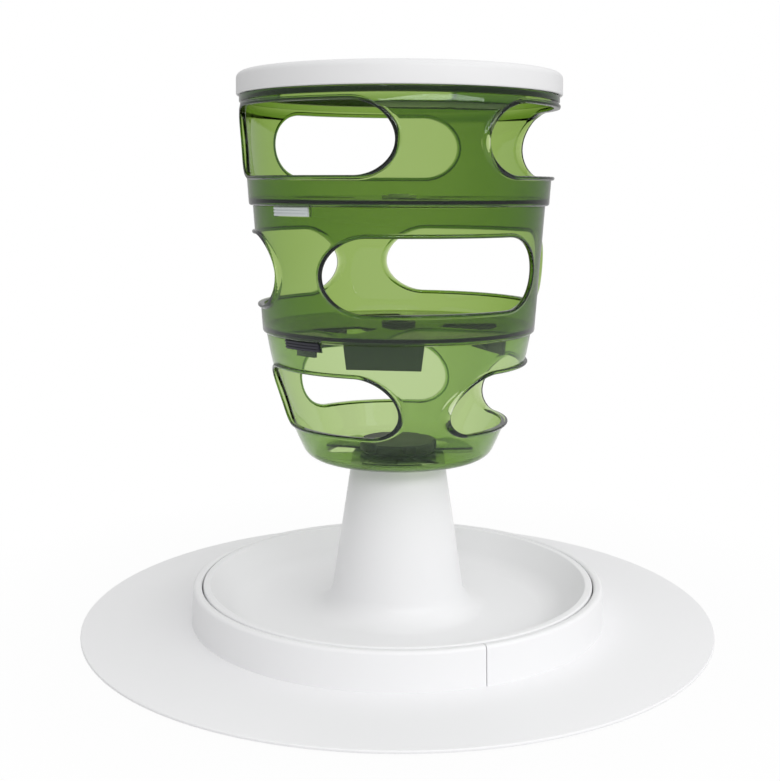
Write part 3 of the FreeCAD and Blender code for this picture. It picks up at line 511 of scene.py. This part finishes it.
def close_notch(shell, rows, inside):
    """Bottom and side faces of the notch."""
    count = len(rows[0])
    first = min(inside, key=lambda i: (i - 1) % count in inside)
    last = (max(inside, key=lambda i: (i + 1) % count not in inside) + 1) % count
    for segment in inside:
        after = (segment + 1) % count
        shell.faces.append((rows[0][segment], rows[0][after],
                            rows[-1][after], rows[-1][segment]))
    for side in (first, last):
        shell.faces.append(tuple(row[side] for row in rows))


# Tiers

def make_tier(name, body, material, wall, corners, levels, window, drop_outer, notch_radius=None):
    """A tier from its cross-section's corners, with its windows, drop holes and notch.

    The names floor, inner, outer and under mark the corners where a stretch starts that has
    openings. The notch lies between notch_in and notch_out.
    """
    notch = notch_edges(notch_radius) if notch_radius else ()
    azimuths = tier_azimuths(window.azimuth - SECTOR / 2, notch)
    path, names = rounded_path(corners, EDGE_STEPS)
    shell = Shell()
    rows = shell.sweep(path, azimuths)
    open_rows = [names[key] for key in ("floor", "inner", "outer", "under")]
    cut_rows = range(0)
    inside = []
    if notch:
        cut_rows = range(names["notch_in"], names["notch_out"])
        width = notch[1] - notch[0]
        inside = [i for i, azimuth in enumerate(azimuths)
                  if ahead(azimuth, notch[0]) < width - AZIMUTH_SLACK]
        close_notch(shell, rows[cut_rows.start:cut_rows.stop + 1], inside)
    for index, row in enumerate(rows):
        if index not in open_rows:
            skip = inside if index in cut_rows else ()
            shell.strip(row, rows[(index + 1) % len(rows)], skip)
    add_windows(shell, wall, window, azimuths, levels)
    add_drops(shell, drop_outer, window.azimuth + SECTOR / 2, azimuths, levels)
    shell.piece(f"{name}_shell", body, material, "tier_green", [name], TIER_SHARP)


CARRIER_EDGE = 0.5
LEDGE_EDGE = 0.15


def carrier_radius(carried_radius):
    """Outer radius of a rim that stands inside the foot of the tier it carries."""
    return carried_radius - WALL - CLEARANCE


def carrier_rim(wall, joint, carried_radius, levels):
    """Corners of a rim that carries another tier, from the inner face to the outer face."""
    notch = joint - NOTCH_DEPTH
    ledge = joint - CLEARANCE
    rim_top = joint + SKIRT - CLEARANCE
    inner = wall.radius(ledge, -WALL)
    outer = carrier_radius(carried_radius)
    return [
        (wall.radius(levels.top, -WALL), levels.top, 0),
        (wall.radius(notch, -WALL), notch, 0, "notch_in"),
        (inner, ledge, 0),
        (inner, rim_top, CARRIER_EDGE),
        (outer, rim_top, CARRIER_EDGE),
        (outer, ledge, 0),
        (wall.radius(ledge), ledge, LEDGE_EDGE),
        (wall.radius(notch), notch, 0, "notch_out"),
        (wall.radius(levels.top), levels.top, 0, "outer"),
        (wall.radius(levels.start), levels.start, 0),
    ]


# Margins round the stretches with openings
FLOOR_MARGIN = 1
BOWL_START = 15
BOWL_START_MARGIN = 3
BOWL_TOP_MARGIN = 1.2
CONE_START = 4.5
CONE_TOP_MARGIN = 1.5

BOWL_NOTCH_INSET = 2


def make_bottom_tier():
    """The bottom tier, a bowl on the trunk."""
    wall = BowlWall(BOWL_BOTTOM, BOTTOM_HEAD_RADIUS, MIDDLE_BOTTOM - CLEARANCE)
    levels = Levels(start=BOWL_BOTTOM + BOWL_START,
                    top=MIDDLE_BOTTOM - NOTCH_DEPTH - BOWL_TOP_MARGIN,
                    under=BOWL_BOTTOM,
                    floor=BOWL_BOTTOM + WALL,
                    edge=wall.flat - FLOOR_MARGIN)
    bore = SPIGOT_RADIUS + CLEARANCE
    lower = levels.start - BOWL_START_MARGIN
    corners = [(r, z, 0) for r, z in wall.corner(0)]
    corners += [
        (levels.edge, levels.under, 0, "under"),
        (FLOOR_INNER, levels.under, 0),
        (bore, levels.under, 0),
        (bore, levels.floor, 0),
        (FLOOR_INNER, levels.floor, 0, "floor"),
        (levels.edge, levels.floor, 0),
    ]
    corners += [(r, z, 0) for r, z in reversed(wall.corner(-WALL))]
    corners += [
        (wall.radius(lower, -WALL), lower, 0),
        (wall.radius(levels.start, -WALL), levels.start, 0, "inner"),
    ]
    corners += carrier_rim(wall, MIDDLE_BOTTOM, MIDDLE_FOOT_RADIUS, levels)
    corners.append((wall.radius(lower), lower, 0))
    window = Window(azimuth=60, first_width=112, other_width=96, height=34.5,
                    middle=BOWL_BOTTOM + 39.75)
    make_tier("tier_bottom", "bottom_tier", green_painted_veil, wall, corners, levels, window,
              drop_outer=42.5, notch_radius=carrier_radius(MIDDLE_FOOT_RADIUS) - BOWL_NOTCH_INSET)


HUB_BORE = 6.08
UPPER_FLOOR = 1.5
FLOOR_FILLET = 1
FOOT_EDGE = 1.4


def cone_levels(wall, bottom, top):
    """Where the openings of a cone tier lie."""
    under = bottom + SKIRT
    floor = under + UPPER_FLOOR
    edge = wall.radius(floor, -WALL) - FLOOR_FILLET - FLOOR_MARGIN
    return Levels(floor + CONE_START, top, under, floor, edge)


def cone_floor(wall, bottom, levels):
    """Corners of a cone tier's foot and floor, from its outer edge round to its inner face."""
    recess = wall.radius(bottom, -WALL)
    return [
        (wall.radius(bottom), bottom, FOOT_EDGE),
        (recess, bottom, SMALL_EDGE),
        (recess, levels.under, 0),
        (levels.edge, levels.under, 0, "under"),
        (FLOOR_INNER, levels.under, 0),
        (HUB_BORE, levels.under, 0),
        (HUB_BORE, levels.floor, 0),
        (FLOOR_INNER, levels.floor, 0, "floor"),
        (levels.edge, levels.floor, 0),
        (wall.radius(levels.floor, -WALL), levels.floor, FLOOR_FILLET),
        (wall.radius(levels.start, -WALL), levels.start, 0, "inner"),
    ]


def make_middle_tier():
    """The middle tier."""
    wall = ConeWall(MIDDLE_FOOT_RADIUS, MIDDLE_BOTTOM, MIDDLE_HEAD_RADIUS, TOP_BOTTOM)
    levels = cone_levels(wall, MIDDLE_BOTTOM, TOP_BOTTOM - NOTCH_DEPTH - CONE_TOP_MARGIN)
    corners = cone_floor(wall, MIDDLE_BOTTOM, levels)
    corners += carrier_rim(wall, TOP_BOTTOM, TOP_FOOT_RADIUS, levels)
    window = Window(azimuth=0, first_width=120.5, other_width=125, height=40,
                    middle=MIDDLE_BOTTOM + 36.9)
    make_tier("tier_middle", "middle_tier", green, wall, corners, levels, window,
              drop_outer=58, notch_radius=carrier_radius(TOP_FOOT_RADIUS))


LIP_EDGE = 0.6
BAND_FILLET = 0.25


def make_top_tier():
    """The top tier, with its band and ring under the lid and a lip inside it."""
    wall = RimWall(TOP_FOOT_RADIUS, TOP_BOTTOM, TOP_HEAD_RADIUS, RIM_TOP)
    levels = cone_levels(wall, TOP_BOTTOM, wall.band_bottom)
    band_radius = TOP_HEAD_RADIUS + wall.BAND_REACH
    inner = TOP_HEAD_RADIUS - WALL
    lip_outer = LID_RADIUS - LID_WALL - CLEARANCE
    lip_top = high("tier_top")
    corners = cone_floor(wall, TOP_BOTTOM, levels)
    corners += [
        (wall.radius(levels.top, -WALL), levels.top, 0),
        (inner, RIM_TOP, 0),
        (inner, lip_top, LIP_EDGE),
        (lip_outer, lip_top, LIP_EDGE),
        (lip_outer, RIM_TOP, 0),
        (band_radius, RIM_TOP, SMALL_EDGE),
        (band_radius, levels.top, BAND_FILLET),
        (wall.radius(levels.top), levels.top, 0, "outer"),
        (wall.radius(levels.start), levels.start, 0),
    ]
    window = Window(azimuth=60, first_width=129, other_width=120, height=38,
                    middle=TOP_BOTTOM + 35.5)
    make_tier("tier_top", "top_tier", green, wall, corners, levels, window, drop_outer=63)


# White pieces, turned about the axis

def add_turned(name, body, material, slot, node, corners, steps):
    """A piece swept round the axis by a closed path, whose corners are rounded in steps."""
    shell = Shell()
    path = rounded_path(corners, steps)[0]
    shell.close(shell.sweep(path, even_azimuths(TURN_STEPS)))
    shell.piece(name, body, material, slot, [node], TURNED_SHARP)


LID_SLOPE_WIDTH = 22
LID_SLOPE_DROP = 0.5
LID_DRAFT = 0.2
LID_EDGE = 3.6
LID_FOOT_EDGE = 0.8


def make_lid():
    """Lid with a soft upper edge, towards which its top falls a little."""
    bottom, top = low("lid"), high("lid")
    ceiling = top - LID_WALL
    inner = LID_RADIUS - LID_WALL
    corners = [
        (0, top, 0),
        (LID_RADIUS - LID_SLOPE_WIDTH, top, 0),
        (LID_RADIUS - LID_DRAFT, top - LID_SLOPE_DROP, LID_EDGE),
        (LID_RADIUS, bottom, LID_FOOT_EDGE),
        (inner, bottom, SMALL_EDGE),
        (inner, ceiling, SMALL_FILLET),
        (0, ceiling, 0),
    ]
    add_turned("lid_cap", "cover", lid_white_painted_shade, "dish_white", "lid", corners, ARC_STEPS)


DISH_STEPS = 12
DISH_WALL = 2.4
DISH_FLOOR_RADIUS = 96
DISH_FILLET = 22
DISH_RIM_TOP = 24.5
DISH_RIM_WIDTH = 4.3
DISH_RIM_INNER_EDGE = 1.4
DISH_RIM_OUTER_EDGE = 1.2
DISH_RIM_CEILING = 22.8
DISH_RIM_CEILING_FILLET = 1
DISH_UNDER_RADIUS = 97.2
DISH_UNDER_EDGE = 0.6
TRUNK_FOOT_RADIUS = 41.8
TRUNK_FOOT_FILLET = 16
TRUNK_HEAD_RADIUS = 27.6
TRUNK_HEAD_EDGE = 0.9
TRUNK_CEILING_FILLET = 2
KEY_RADIUS = 14
STUD_RADIUS = 9


def make_dish():
    """Dish and trunk in one moulding."""
    base, radius = low("dish_trunk"), reach("dish_trunk")
    floor = base + DISH_WALL
    stud_top = high("dish_trunk")
    key_top = high("shutter_bottom") + SEAT_GAP
    spigot_top = low("shutter_bottom")
    ceiling = SHOULDER - DISH_WALL
    corners = [
        (0, stud_top, 0),
        (STUD_RADIUS, stud_top, SMALL_EDGE),
        (STUD_RADIUS, key_top, 0),
        (KEY_RADIUS, key_top, SMALL_FILLET),
        (KEY_RADIUS, spigot_top, 0),
        (SPIGOT_RADIUS, spigot_top, SMALL_FILLET),
        (SPIGOT_RADIUS, SHOULDER, 0),
        (TRUNK_HEAD_RADIUS, SHOULDER, TRUNK_HEAD_EDGE),
        (TRUNK_FOOT_RADIUS, floor, TRUNK_FOOT_FILLET),
        (DISH_FLOOR_RADIUS, floor, DISH_FILLET),
        (radius - DISH_RIM_WIDTH, DISH_RIM_TOP, DISH_RIM_INNER_EDGE),
        (radius, DISH_RIM_TOP, DISH_RIM_OUTER_EDGE),
        (radius, base, SMALL_EDGE),
        (radius - DISH_WALL, base, SMALL_EDGE),
        (radius - DISH_WALL, DISH_RIM_CEILING, DISH_RIM_CEILING_FILLET),
        (DISH_UNDER_RADIUS, base, DISH_UNDER_EDGE),
        (TRUNK_FOOT_RADIUS - DISH_WALL, base, DISH_UNDER_EDGE),
        (TRUNK_HEAD_RADIUS - DISH_WALL, ceiling, TRUNK_CEILING_FILLET),
        (0, ceiling, 0),
    ]
    add_turned("dish_and_trunk", "dish", white_gloss, "dish_white", "dish_trunk", corners,
               DISH_STEPS)


MAT_EDGE = 0.7


def make_mat():
    """Thin mat with a softly rounded edge."""
    radius = reach("placemat")
    bottom, top = low("placemat"), high("placemat")
    corners = [
        (0, top, 0),
        (radius, top, MAT_EDGE),
        (radius, bottom, SMALL_EDGE),
        (0, bottom, 0),
    ]
    add_turned("mat_sheet", "mat", white_satin, "mat_white", "placemat", corners, EDGE_STEPS)


COLLAR_INNER = 119
COLLAR_OUTER = 125.2
COLLAR_INNER_EDGE = 1.6
COLLAR_OUTER_EDGE = 2.2
COLLAR_DRAFT = 1
COLLAR_FOOT_WIDTH = 0.2
COLLAR_FOOT_HEIGHT = 1
SEAM_AZIMUTH = 5
SEAM_WIDTH = 0.5


def make_collar():
    """Raised ring round the dish, with a split near the front."""
    bottom, top = high("placemat"), high("mat_collar")
    path = rounded_path([
        (COLLAR_INNER, bottom, 0),
        (COLLAR_INNER, top, COLLAR_INNER_EDGE),
        (COLLAR_OUTER - COLLAR_DRAFT, top, COLLAR_OUTER_EDGE),
        (COLLAR_OUTER, bottom + COLLAR_FOOT_HEIGHT, 0),
        (COLLAR_OUTER + COLLAR_FOOT_WIDTH, bottom, 0),
    ], ARC_STEPS)[0]
    seam = math.degrees(SEAM_WIDTH / COLLAR_OUTER)
    start = SEAM_AZIMUTH + seam / 2
    span = 360 - seam
    azimuths = [start + span * step / TURN_STEPS for step in range(TURN_STEPS + 1)]
    shell = Shell()
    rows = shell.sweep(path, azimuths)
    shell.close(rows, [TURN_STEPS])
    for end in (0, -1):
        shell.faces.append(tuple(row[end] for row in rows))
    shell.piece("collar_ring", "mat", white_satin, "mat_white", ["mat_collar"], TURNED_SHARP)


# Shader nodes. From here on lengths are in metres.

def add_node(tree, kind, **inputs):
    """Add a node and set its inputs by name, with underscores for spaces."""
    node = tree.nodes.new(kind)
    for key, value in inputs.items():
        node.inputs[key.replace("_", " ")].default_value = value
    return node


def ramp(tree, value, source, target):
    """A value mapped from one range to another, and held at its ends."""
    node = add_node(tree, "ShaderNodeMapRange", From_Min=source[0], From_Max=source[1],
                    To_Min=target[0], To_Max=target[1])
    tree.links.new(value, node.inputs["Value"])
    return node.outputs["Result"]


def combined(tree, operation, first, second):
    """The result of a mathematical operation on two values."""
    node = tree.nodes.new("ShaderNodeMath")
    node.operation = operation
    tree.links.new(first, node.inputs[0])
    tree.links.new(second, node.inputs[1])
    return node.outputs["Value"]


def noise(tree, scale, detail):
    """A value from 0 to 1 that varies over an object."""
    place = tree.nodes.new("ShaderNodeTexCoord")
    cloud = add_node(tree, "ShaderNodeTexNoise", Scale=scale, Detail=detail)
    tree.links.new(place.outputs["Object"], cloud.inputs["Vector"])
    return cloud.outputs["Fac"]


def seen_rays(tree, path):
    """A value that is 1 for the camera's rays, also where they came through clear plastic."""
    return combined(tree, "MAXIMUM", path.outputs["Is Camera Ray"],
                    path.outputs["Is Transmission Ray"])


def set_surface(tree, share, first, second):
    """Mix two shaders, the second one by its share, as the material's surface."""
    mix = tree.nodes.new("ShaderNodeMixShader")
    tree.links.new(share, mix.inputs["Fac"])
    tree.links.new(first, mix.inputs[1])
    tree.links.new(second, mix.inputs[2])
    tree.links.new(mix.outputs["Shader"], tree.nodes["Material Output"].inputs["Surface"])


# Materials

WHITE = (1, 1, 1, 1)


def new_material(name):
    """A material with a Principled shader. Gives the material, its node tree and the shader."""
    material = bpy.data.materials.new(name)
    material.use_nodes = True
    tree = material.node_tree
    return material, tree, tree.nodes["Principled BSDF"]


CLOUD_SCALE = 60
CLOUD_DETAIL = 3
GRAIN_DETAIL = 2
GRAIN_HEIGHT = 0.0002


def moulded(name, colour, roughness, spread, grain, depth, specular=0.5):
    """Moulded plastic: a fine grain in its surface, and roughness that varies by a spread."""
    material, tree, shader = new_material(name)
    shader.inputs["Base Color"].default_value = (*colour, 1)
    shader.inputs["Specular IOR Level"].default_value = specular
    level = ramp(tree, noise(tree, CLOUD_SCALE, CLOUD_DETAIL), (0, 1),
                 (roughness - spread, roughness + spread))
    tree.links.new(level, shader.inputs["Roughness"])
    bump = add_node(tree, "ShaderNodeBump", Strength=depth, Distance=GRAIN_HEIGHT)
    tree.links.new(noise(tree, grain, GRAIN_DETAIL), bump.inputs["Height"])
    tree.links.new(bump.outputs["Normal"], shader.inputs["Normal"])
    return material


REFRACTION = 1.5
HAZE = 0.06
HAZE_SCALE = 90
HAZE_DETAIL = 2
LAMP_SHARE = 0.92


def tinted_clear(name, absorbed, density, gloss):
    """Clear tinted plastic. Its colour comes from the length of the light's way through it.

    Lamps reach what is behind it, by a clear shader for their rays.
    """
    material, tree, shader = new_material(name)
    shader.inputs["Base Color"].default_value = WHITE
    shader.inputs["Transmission Weight"].default_value = 1
    shader.inputs["IOR"].default_value = REFRACTION
    shader.inputs["Specular Tint"].default_value = (*gloss, 1)
    haze = ramp(tree, noise(tree, HAZE_SCALE, HAZE_DETAIL), (0, 1), (0, HAZE))
    tree.links.new(haze, shader.inputs["Roughness"])
    path = tree.nodes.new("ShaderNodeLightPath")
    clear = add_node(tree, "ShaderNodeBsdfTransparent",
                     Color=(LAMP_SHARE, LAMP_SHARE, LAMP_SHARE, 1))
    set_surface(tree, path.outputs["Is Shadow Ray"], shader.outputs["BSDF"],
                clear.outputs["BSDF"])
    tint = add_node(tree, "ShaderNodeVolumeAbsorption", Color=(*absorbed, 1), Density=density)
    tree.links.new(tint.outputs["Volume"], tree.nodes["Material Output"].inputs["Volume"])
    return material


green = tinted_clear("green_plastic", (0.48, 0.64, 0.08), density=1000, gloss=(0.9, 1.0, 0.95))
# A thinner tint than the upper tiers' green, which makes the bottom tier and its shutter paler.
# This is a painted reflection that stands in for the lamp's sheen on the bowl.
green_painted_veil = tinted_clear("green_plastic_painted_veil", (0.46, 0.64, 0.09), density=620,
                          gloss=(0.85, 1.0, 0.97))
# The lid's white is the dish's white darkened as painted shade, which holds down its brightly lit
# top.
lid_white_painted_shade = moulded("lid_white_painted_shade", (0.75, 0.75, 0.757), roughness=0.34, spread=0.02,
                    grain=1500, depth=0.05, specular=0.3)
white_gloss = moulded("white_gloss", (0.86, 0.86, 0.87), roughness=0.34, spread=0.02,
                      grain=1500, depth=0.05, specular=0.3)
white_satin = moulded("white_satin", (0.85, 0.85, 0.86), roughness=0.45, spread=0.06,
                      grain=1800, depth=0.12)
dark = moulded("dark_plastic", (0.022, 0.022, 0.034), roughness=0.42, spread=0.08,
               grain=2200, depth=0.2)
# The dark shutter plastic, made pale grey as a painted reflection of the lamp on the top
# shutter's tab.
painted_reflection_grey = moulded("pale_plastic", (0.62, 0.66, 0.66), roughness=0.4, spread=0.06,
               grain=2000, depth=0.15)
pad = moulded("pad_rubber", (0.5, 0.5, 0.5), roughness=0.7, spread=0.08,
              grain=900, depth=0.3)

# CAD nodes that keep their shape
FINISHES = {
    "mat_feet": pad,
    "dish_feet": pad,
    "lock_knob": dark,
    "shutter_bottom": green_painted_veil,
    "shutter_middle": dark,
    "hub_clip_middle": dark,
    # The top shutter and its clip carry the painted reflection grey.
    "shutter_top": painted_reflection_grey,
    "hub_clip_top": painted_reflection_grey,
}


def finish_nodes():
    """Give the CAD nodes their materials."""
    for name, finish in FINISHES.items():
        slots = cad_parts[name].data.materials
        slots.clear()
        slots.append(finish)


# Floor, light and camera

FLOOR_HALF = 30
FLOOR_GREY = 0.75
FLOOR_ROUGHNESS = 0.9
FLOOR_GLOW = 0.95
SHADOW_RANGE = (0.19, 0.32)
GLOSS_RANGE = (0.5, 1.6)
FAR_GLOSS = 0.5


def make_floor():
    """White floor that keeps a faint shadow near the object.

    Farther off it is white as it is seen, also through clear plastic, and dim in reflections.
    """
    material, tree, shader = new_material("studio_floor")
    shader.inputs["Base Color"].default_value = (FLOOR_GREY, FLOOR_GREY, FLOOR_GREY, 1)
    shader.inputs["Roughness"].default_value = FLOOR_ROUGHNESS
    shader.inputs["Specular IOR Level"].default_value = 0
    path = tree.nodes.new("ShaderNodeLightPath")
    place = tree.nodes.new("ShaderNodeTexCoord")
    away = tree.nodes.new("ShaderNodeVectorMath")
    away.operation = "LENGTH"
    tree.links.new(place.outputs["Object"], away.inputs[0])
    distance = away.outputs["Value"]
    seen = seen_rays(tree, path)
    mirrored = ramp(tree, distance, GLOSS_RANGE, (1, FAR_GLOSS))
    glow = add_node(tree, "ShaderNodeEmission", Color=WHITE)
    tree.links.new(combined(tree, "MAXIMUM", seen, mirrored), glow.inputs["Strength"])
    glowing = combined(tree, "MAXIMUM", seen, path.outputs["Is Glossy Ray"])
    fade = ramp(tree, distance, SHADOW_RANGE, (FLOOR_GLOW, 1))
    share = combined(tree, "MULTIPLY", glowing, fade)
    set_surface(tree, share, shader.outputs["BSDF"], glow.outputs["Emission"])
    mesh = bpy.data.meshes.new("studio_floor")
    sides = ((-1, -1), (1, -1), (1, 1), (-1, 1))
    mesh.from_pydata([(x * FLOOR_HALF, y * FLOOR_HALF, 0) for x, y in sides], [], [(0, 1, 2, 3)])
    mesh.materials.append(material)
    floor = bpy.data.objects.new("studio_floor", mesh)
    bpy.context.scene.collection.objects.link(floor)


SKY_AZIMUTH = 68
SKY_ELEVATION = 66
SKY_RANGE = (-0.5, 1)
SKY_DARK = 0.14
SKY_BRIGHT = 1.16
HORIZON_RANGE = (0.1, 0.7)


def facing(tree, direction, azimuth, elevation):
    """How far a direction points to an azimuth and elevation, from -1 to 1."""
    lift = math.radians(elevation)
    node = tree.nodes.new("ShaderNodeVectorMath")
    node.operation = "DOT_PRODUCT"
    node.inputs[1].default_value = polar(math.cos(lift), azimuth, math.sin(lift))
    tree.links.new(direction, node.inputs[0])
    return node.outputs["Value"]


def pick(tree, switch, normal, chosen):
    """A value that turns from the normal one to the chosen one where the switch is 1."""
    node = tree.nodes.new("ShaderNodeMix")
    tree.links.new(switch, node.inputs["Factor"])
    tree.links.new(normal, node.inputs["A"])
    if isinstance(chosen, bpy.types.NodeSocket):
        tree.links.new(chosen, node.inputs["B"])
    else:
        node.inputs["B"].default_value = chosen
    return node.outputs["Result"]


def make_world():
    """Surroundings that are white as they are seen, also through clear plastic.

    Their light comes mostly from above on the right, and reflections see a dim horizon.
    """
    world = bpy.data.worlds.new("studio")
    bpy.context.scene.world = world
    world.use_nodes = True
    tree = world.node_tree
    background = tree.nodes["Background"]
    background.inputs["Color"].default_value = WHITE
    direction = tree.nodes.new("ShaderNodeTexCoord").outputs["Generated"]
    path = tree.nodes.new("ShaderNodeLightPath")
    light = ramp(tree, facing(tree, direction, SKY_AZIMUTH, SKY_ELEVATION), SKY_RANGE,
                 (SKY_DARK, SKY_BRIGHT))
    mirrored = ramp(tree, facing(tree, direction, azimuth=0, elevation=90), HORIZON_RANGE,
                    (FAR_GLOSS, 1))
    strength = pick(tree, path.outputs["Is Glossy Ray"], light, mirrored)
    strength = pick(tree, seen_rays(tree, path), strength, 1)
    tree.links.new(strength, background.inputs["Strength"])


LAMP_TARGET = Vector((0, 0, 0.15))


def add_lamp(name, azimuth, elevation, distance, width, height, power):
    """Soft area lamp that points at the tower."""
    lamp = bpy.data.lights.new(name, "AREA")
    lamp.shape = "RECTANGLE"
    lamp.size = width
    lamp.size_y = height
    lamp.energy = power
    lift = math.radians(elevation)
    away = Vector(polar(distance * math.cos(lift), azimuth, distance * math.sin(lift)))
    piece = bpy.data.objects.new(name, lamp)
    piece.location = LAMP_TARGET + away
    piece.rotation_euler = (-away).to_track_quat("-Z", "Y").to_euler()
    bpy.context.scene.collection.objects.link(piece)


CAMERA_AZIMUTH = -17
CAMERA_DISTANCE = 0.7154
CAMERA_HEIGHT = 0.2606
CAMERA_PITCH = 9.5758
CAMERA_ROLL = 0.2
CAMERA_SIGHT = 100
SENSOR_WIDTH = 36
FOCAL_PIXELS = 1209.72
PICTURE_WIDTH = 780
PICTURE_HEIGHT = 781
AXIS_PIXEL = 398.4


def make_camera():
    """Camera at the photograph's place, with its tilt and small roll."""
    data = bpy.data.cameras.new("camera")
    camera = bpy.data.objects.new("camera", data)
    bpy.context.scene.collection.objects.link(camera)
    data.sensor_width = SENSOR_WIDTH
    data.lens = FOCAL_PIXELS * SENSOR_WIDTH / PICTURE_HEIGHT
    data.shift_x = (PICTURE_WIDTH / 2 - AXIS_PIXEL) / PICTURE_HEIGHT
    data.clip_end = CAMERA_SIGHT
    place = Vector(polar(CAMERA_DISTANCE, CAMERA_AZIMUTH, CAMERA_HEIGHT))
    turn = Matrix.Rotation(math.radians(CAMERA_AZIMUTH), 4, "Z")
    tilt = Matrix.Rotation(math.radians(90 - CAMERA_PITCH), 4, "X")
    roll = Matrix.Rotation(math.radians(CAMERA_ROLL), 4, "Z")
    camera.matrix_world = Matrix.Translation(place) @ turn @ tilt @ roll
    bpy.context.scene.camera = camera


make_bottom_tier()
make_middle_tier()
make_top_tier()
make_lid()
make_dish()
make_mat()
make_collar()
finish_nodes()
make_floor()
make_world()
add_lamp("key", azimuth=6, elevation=25, distance=1.6, width=2.2, height=0.3, power=9.3)
make_camera()
bpy.context.scene.view_settings.view_transform = "Standard"
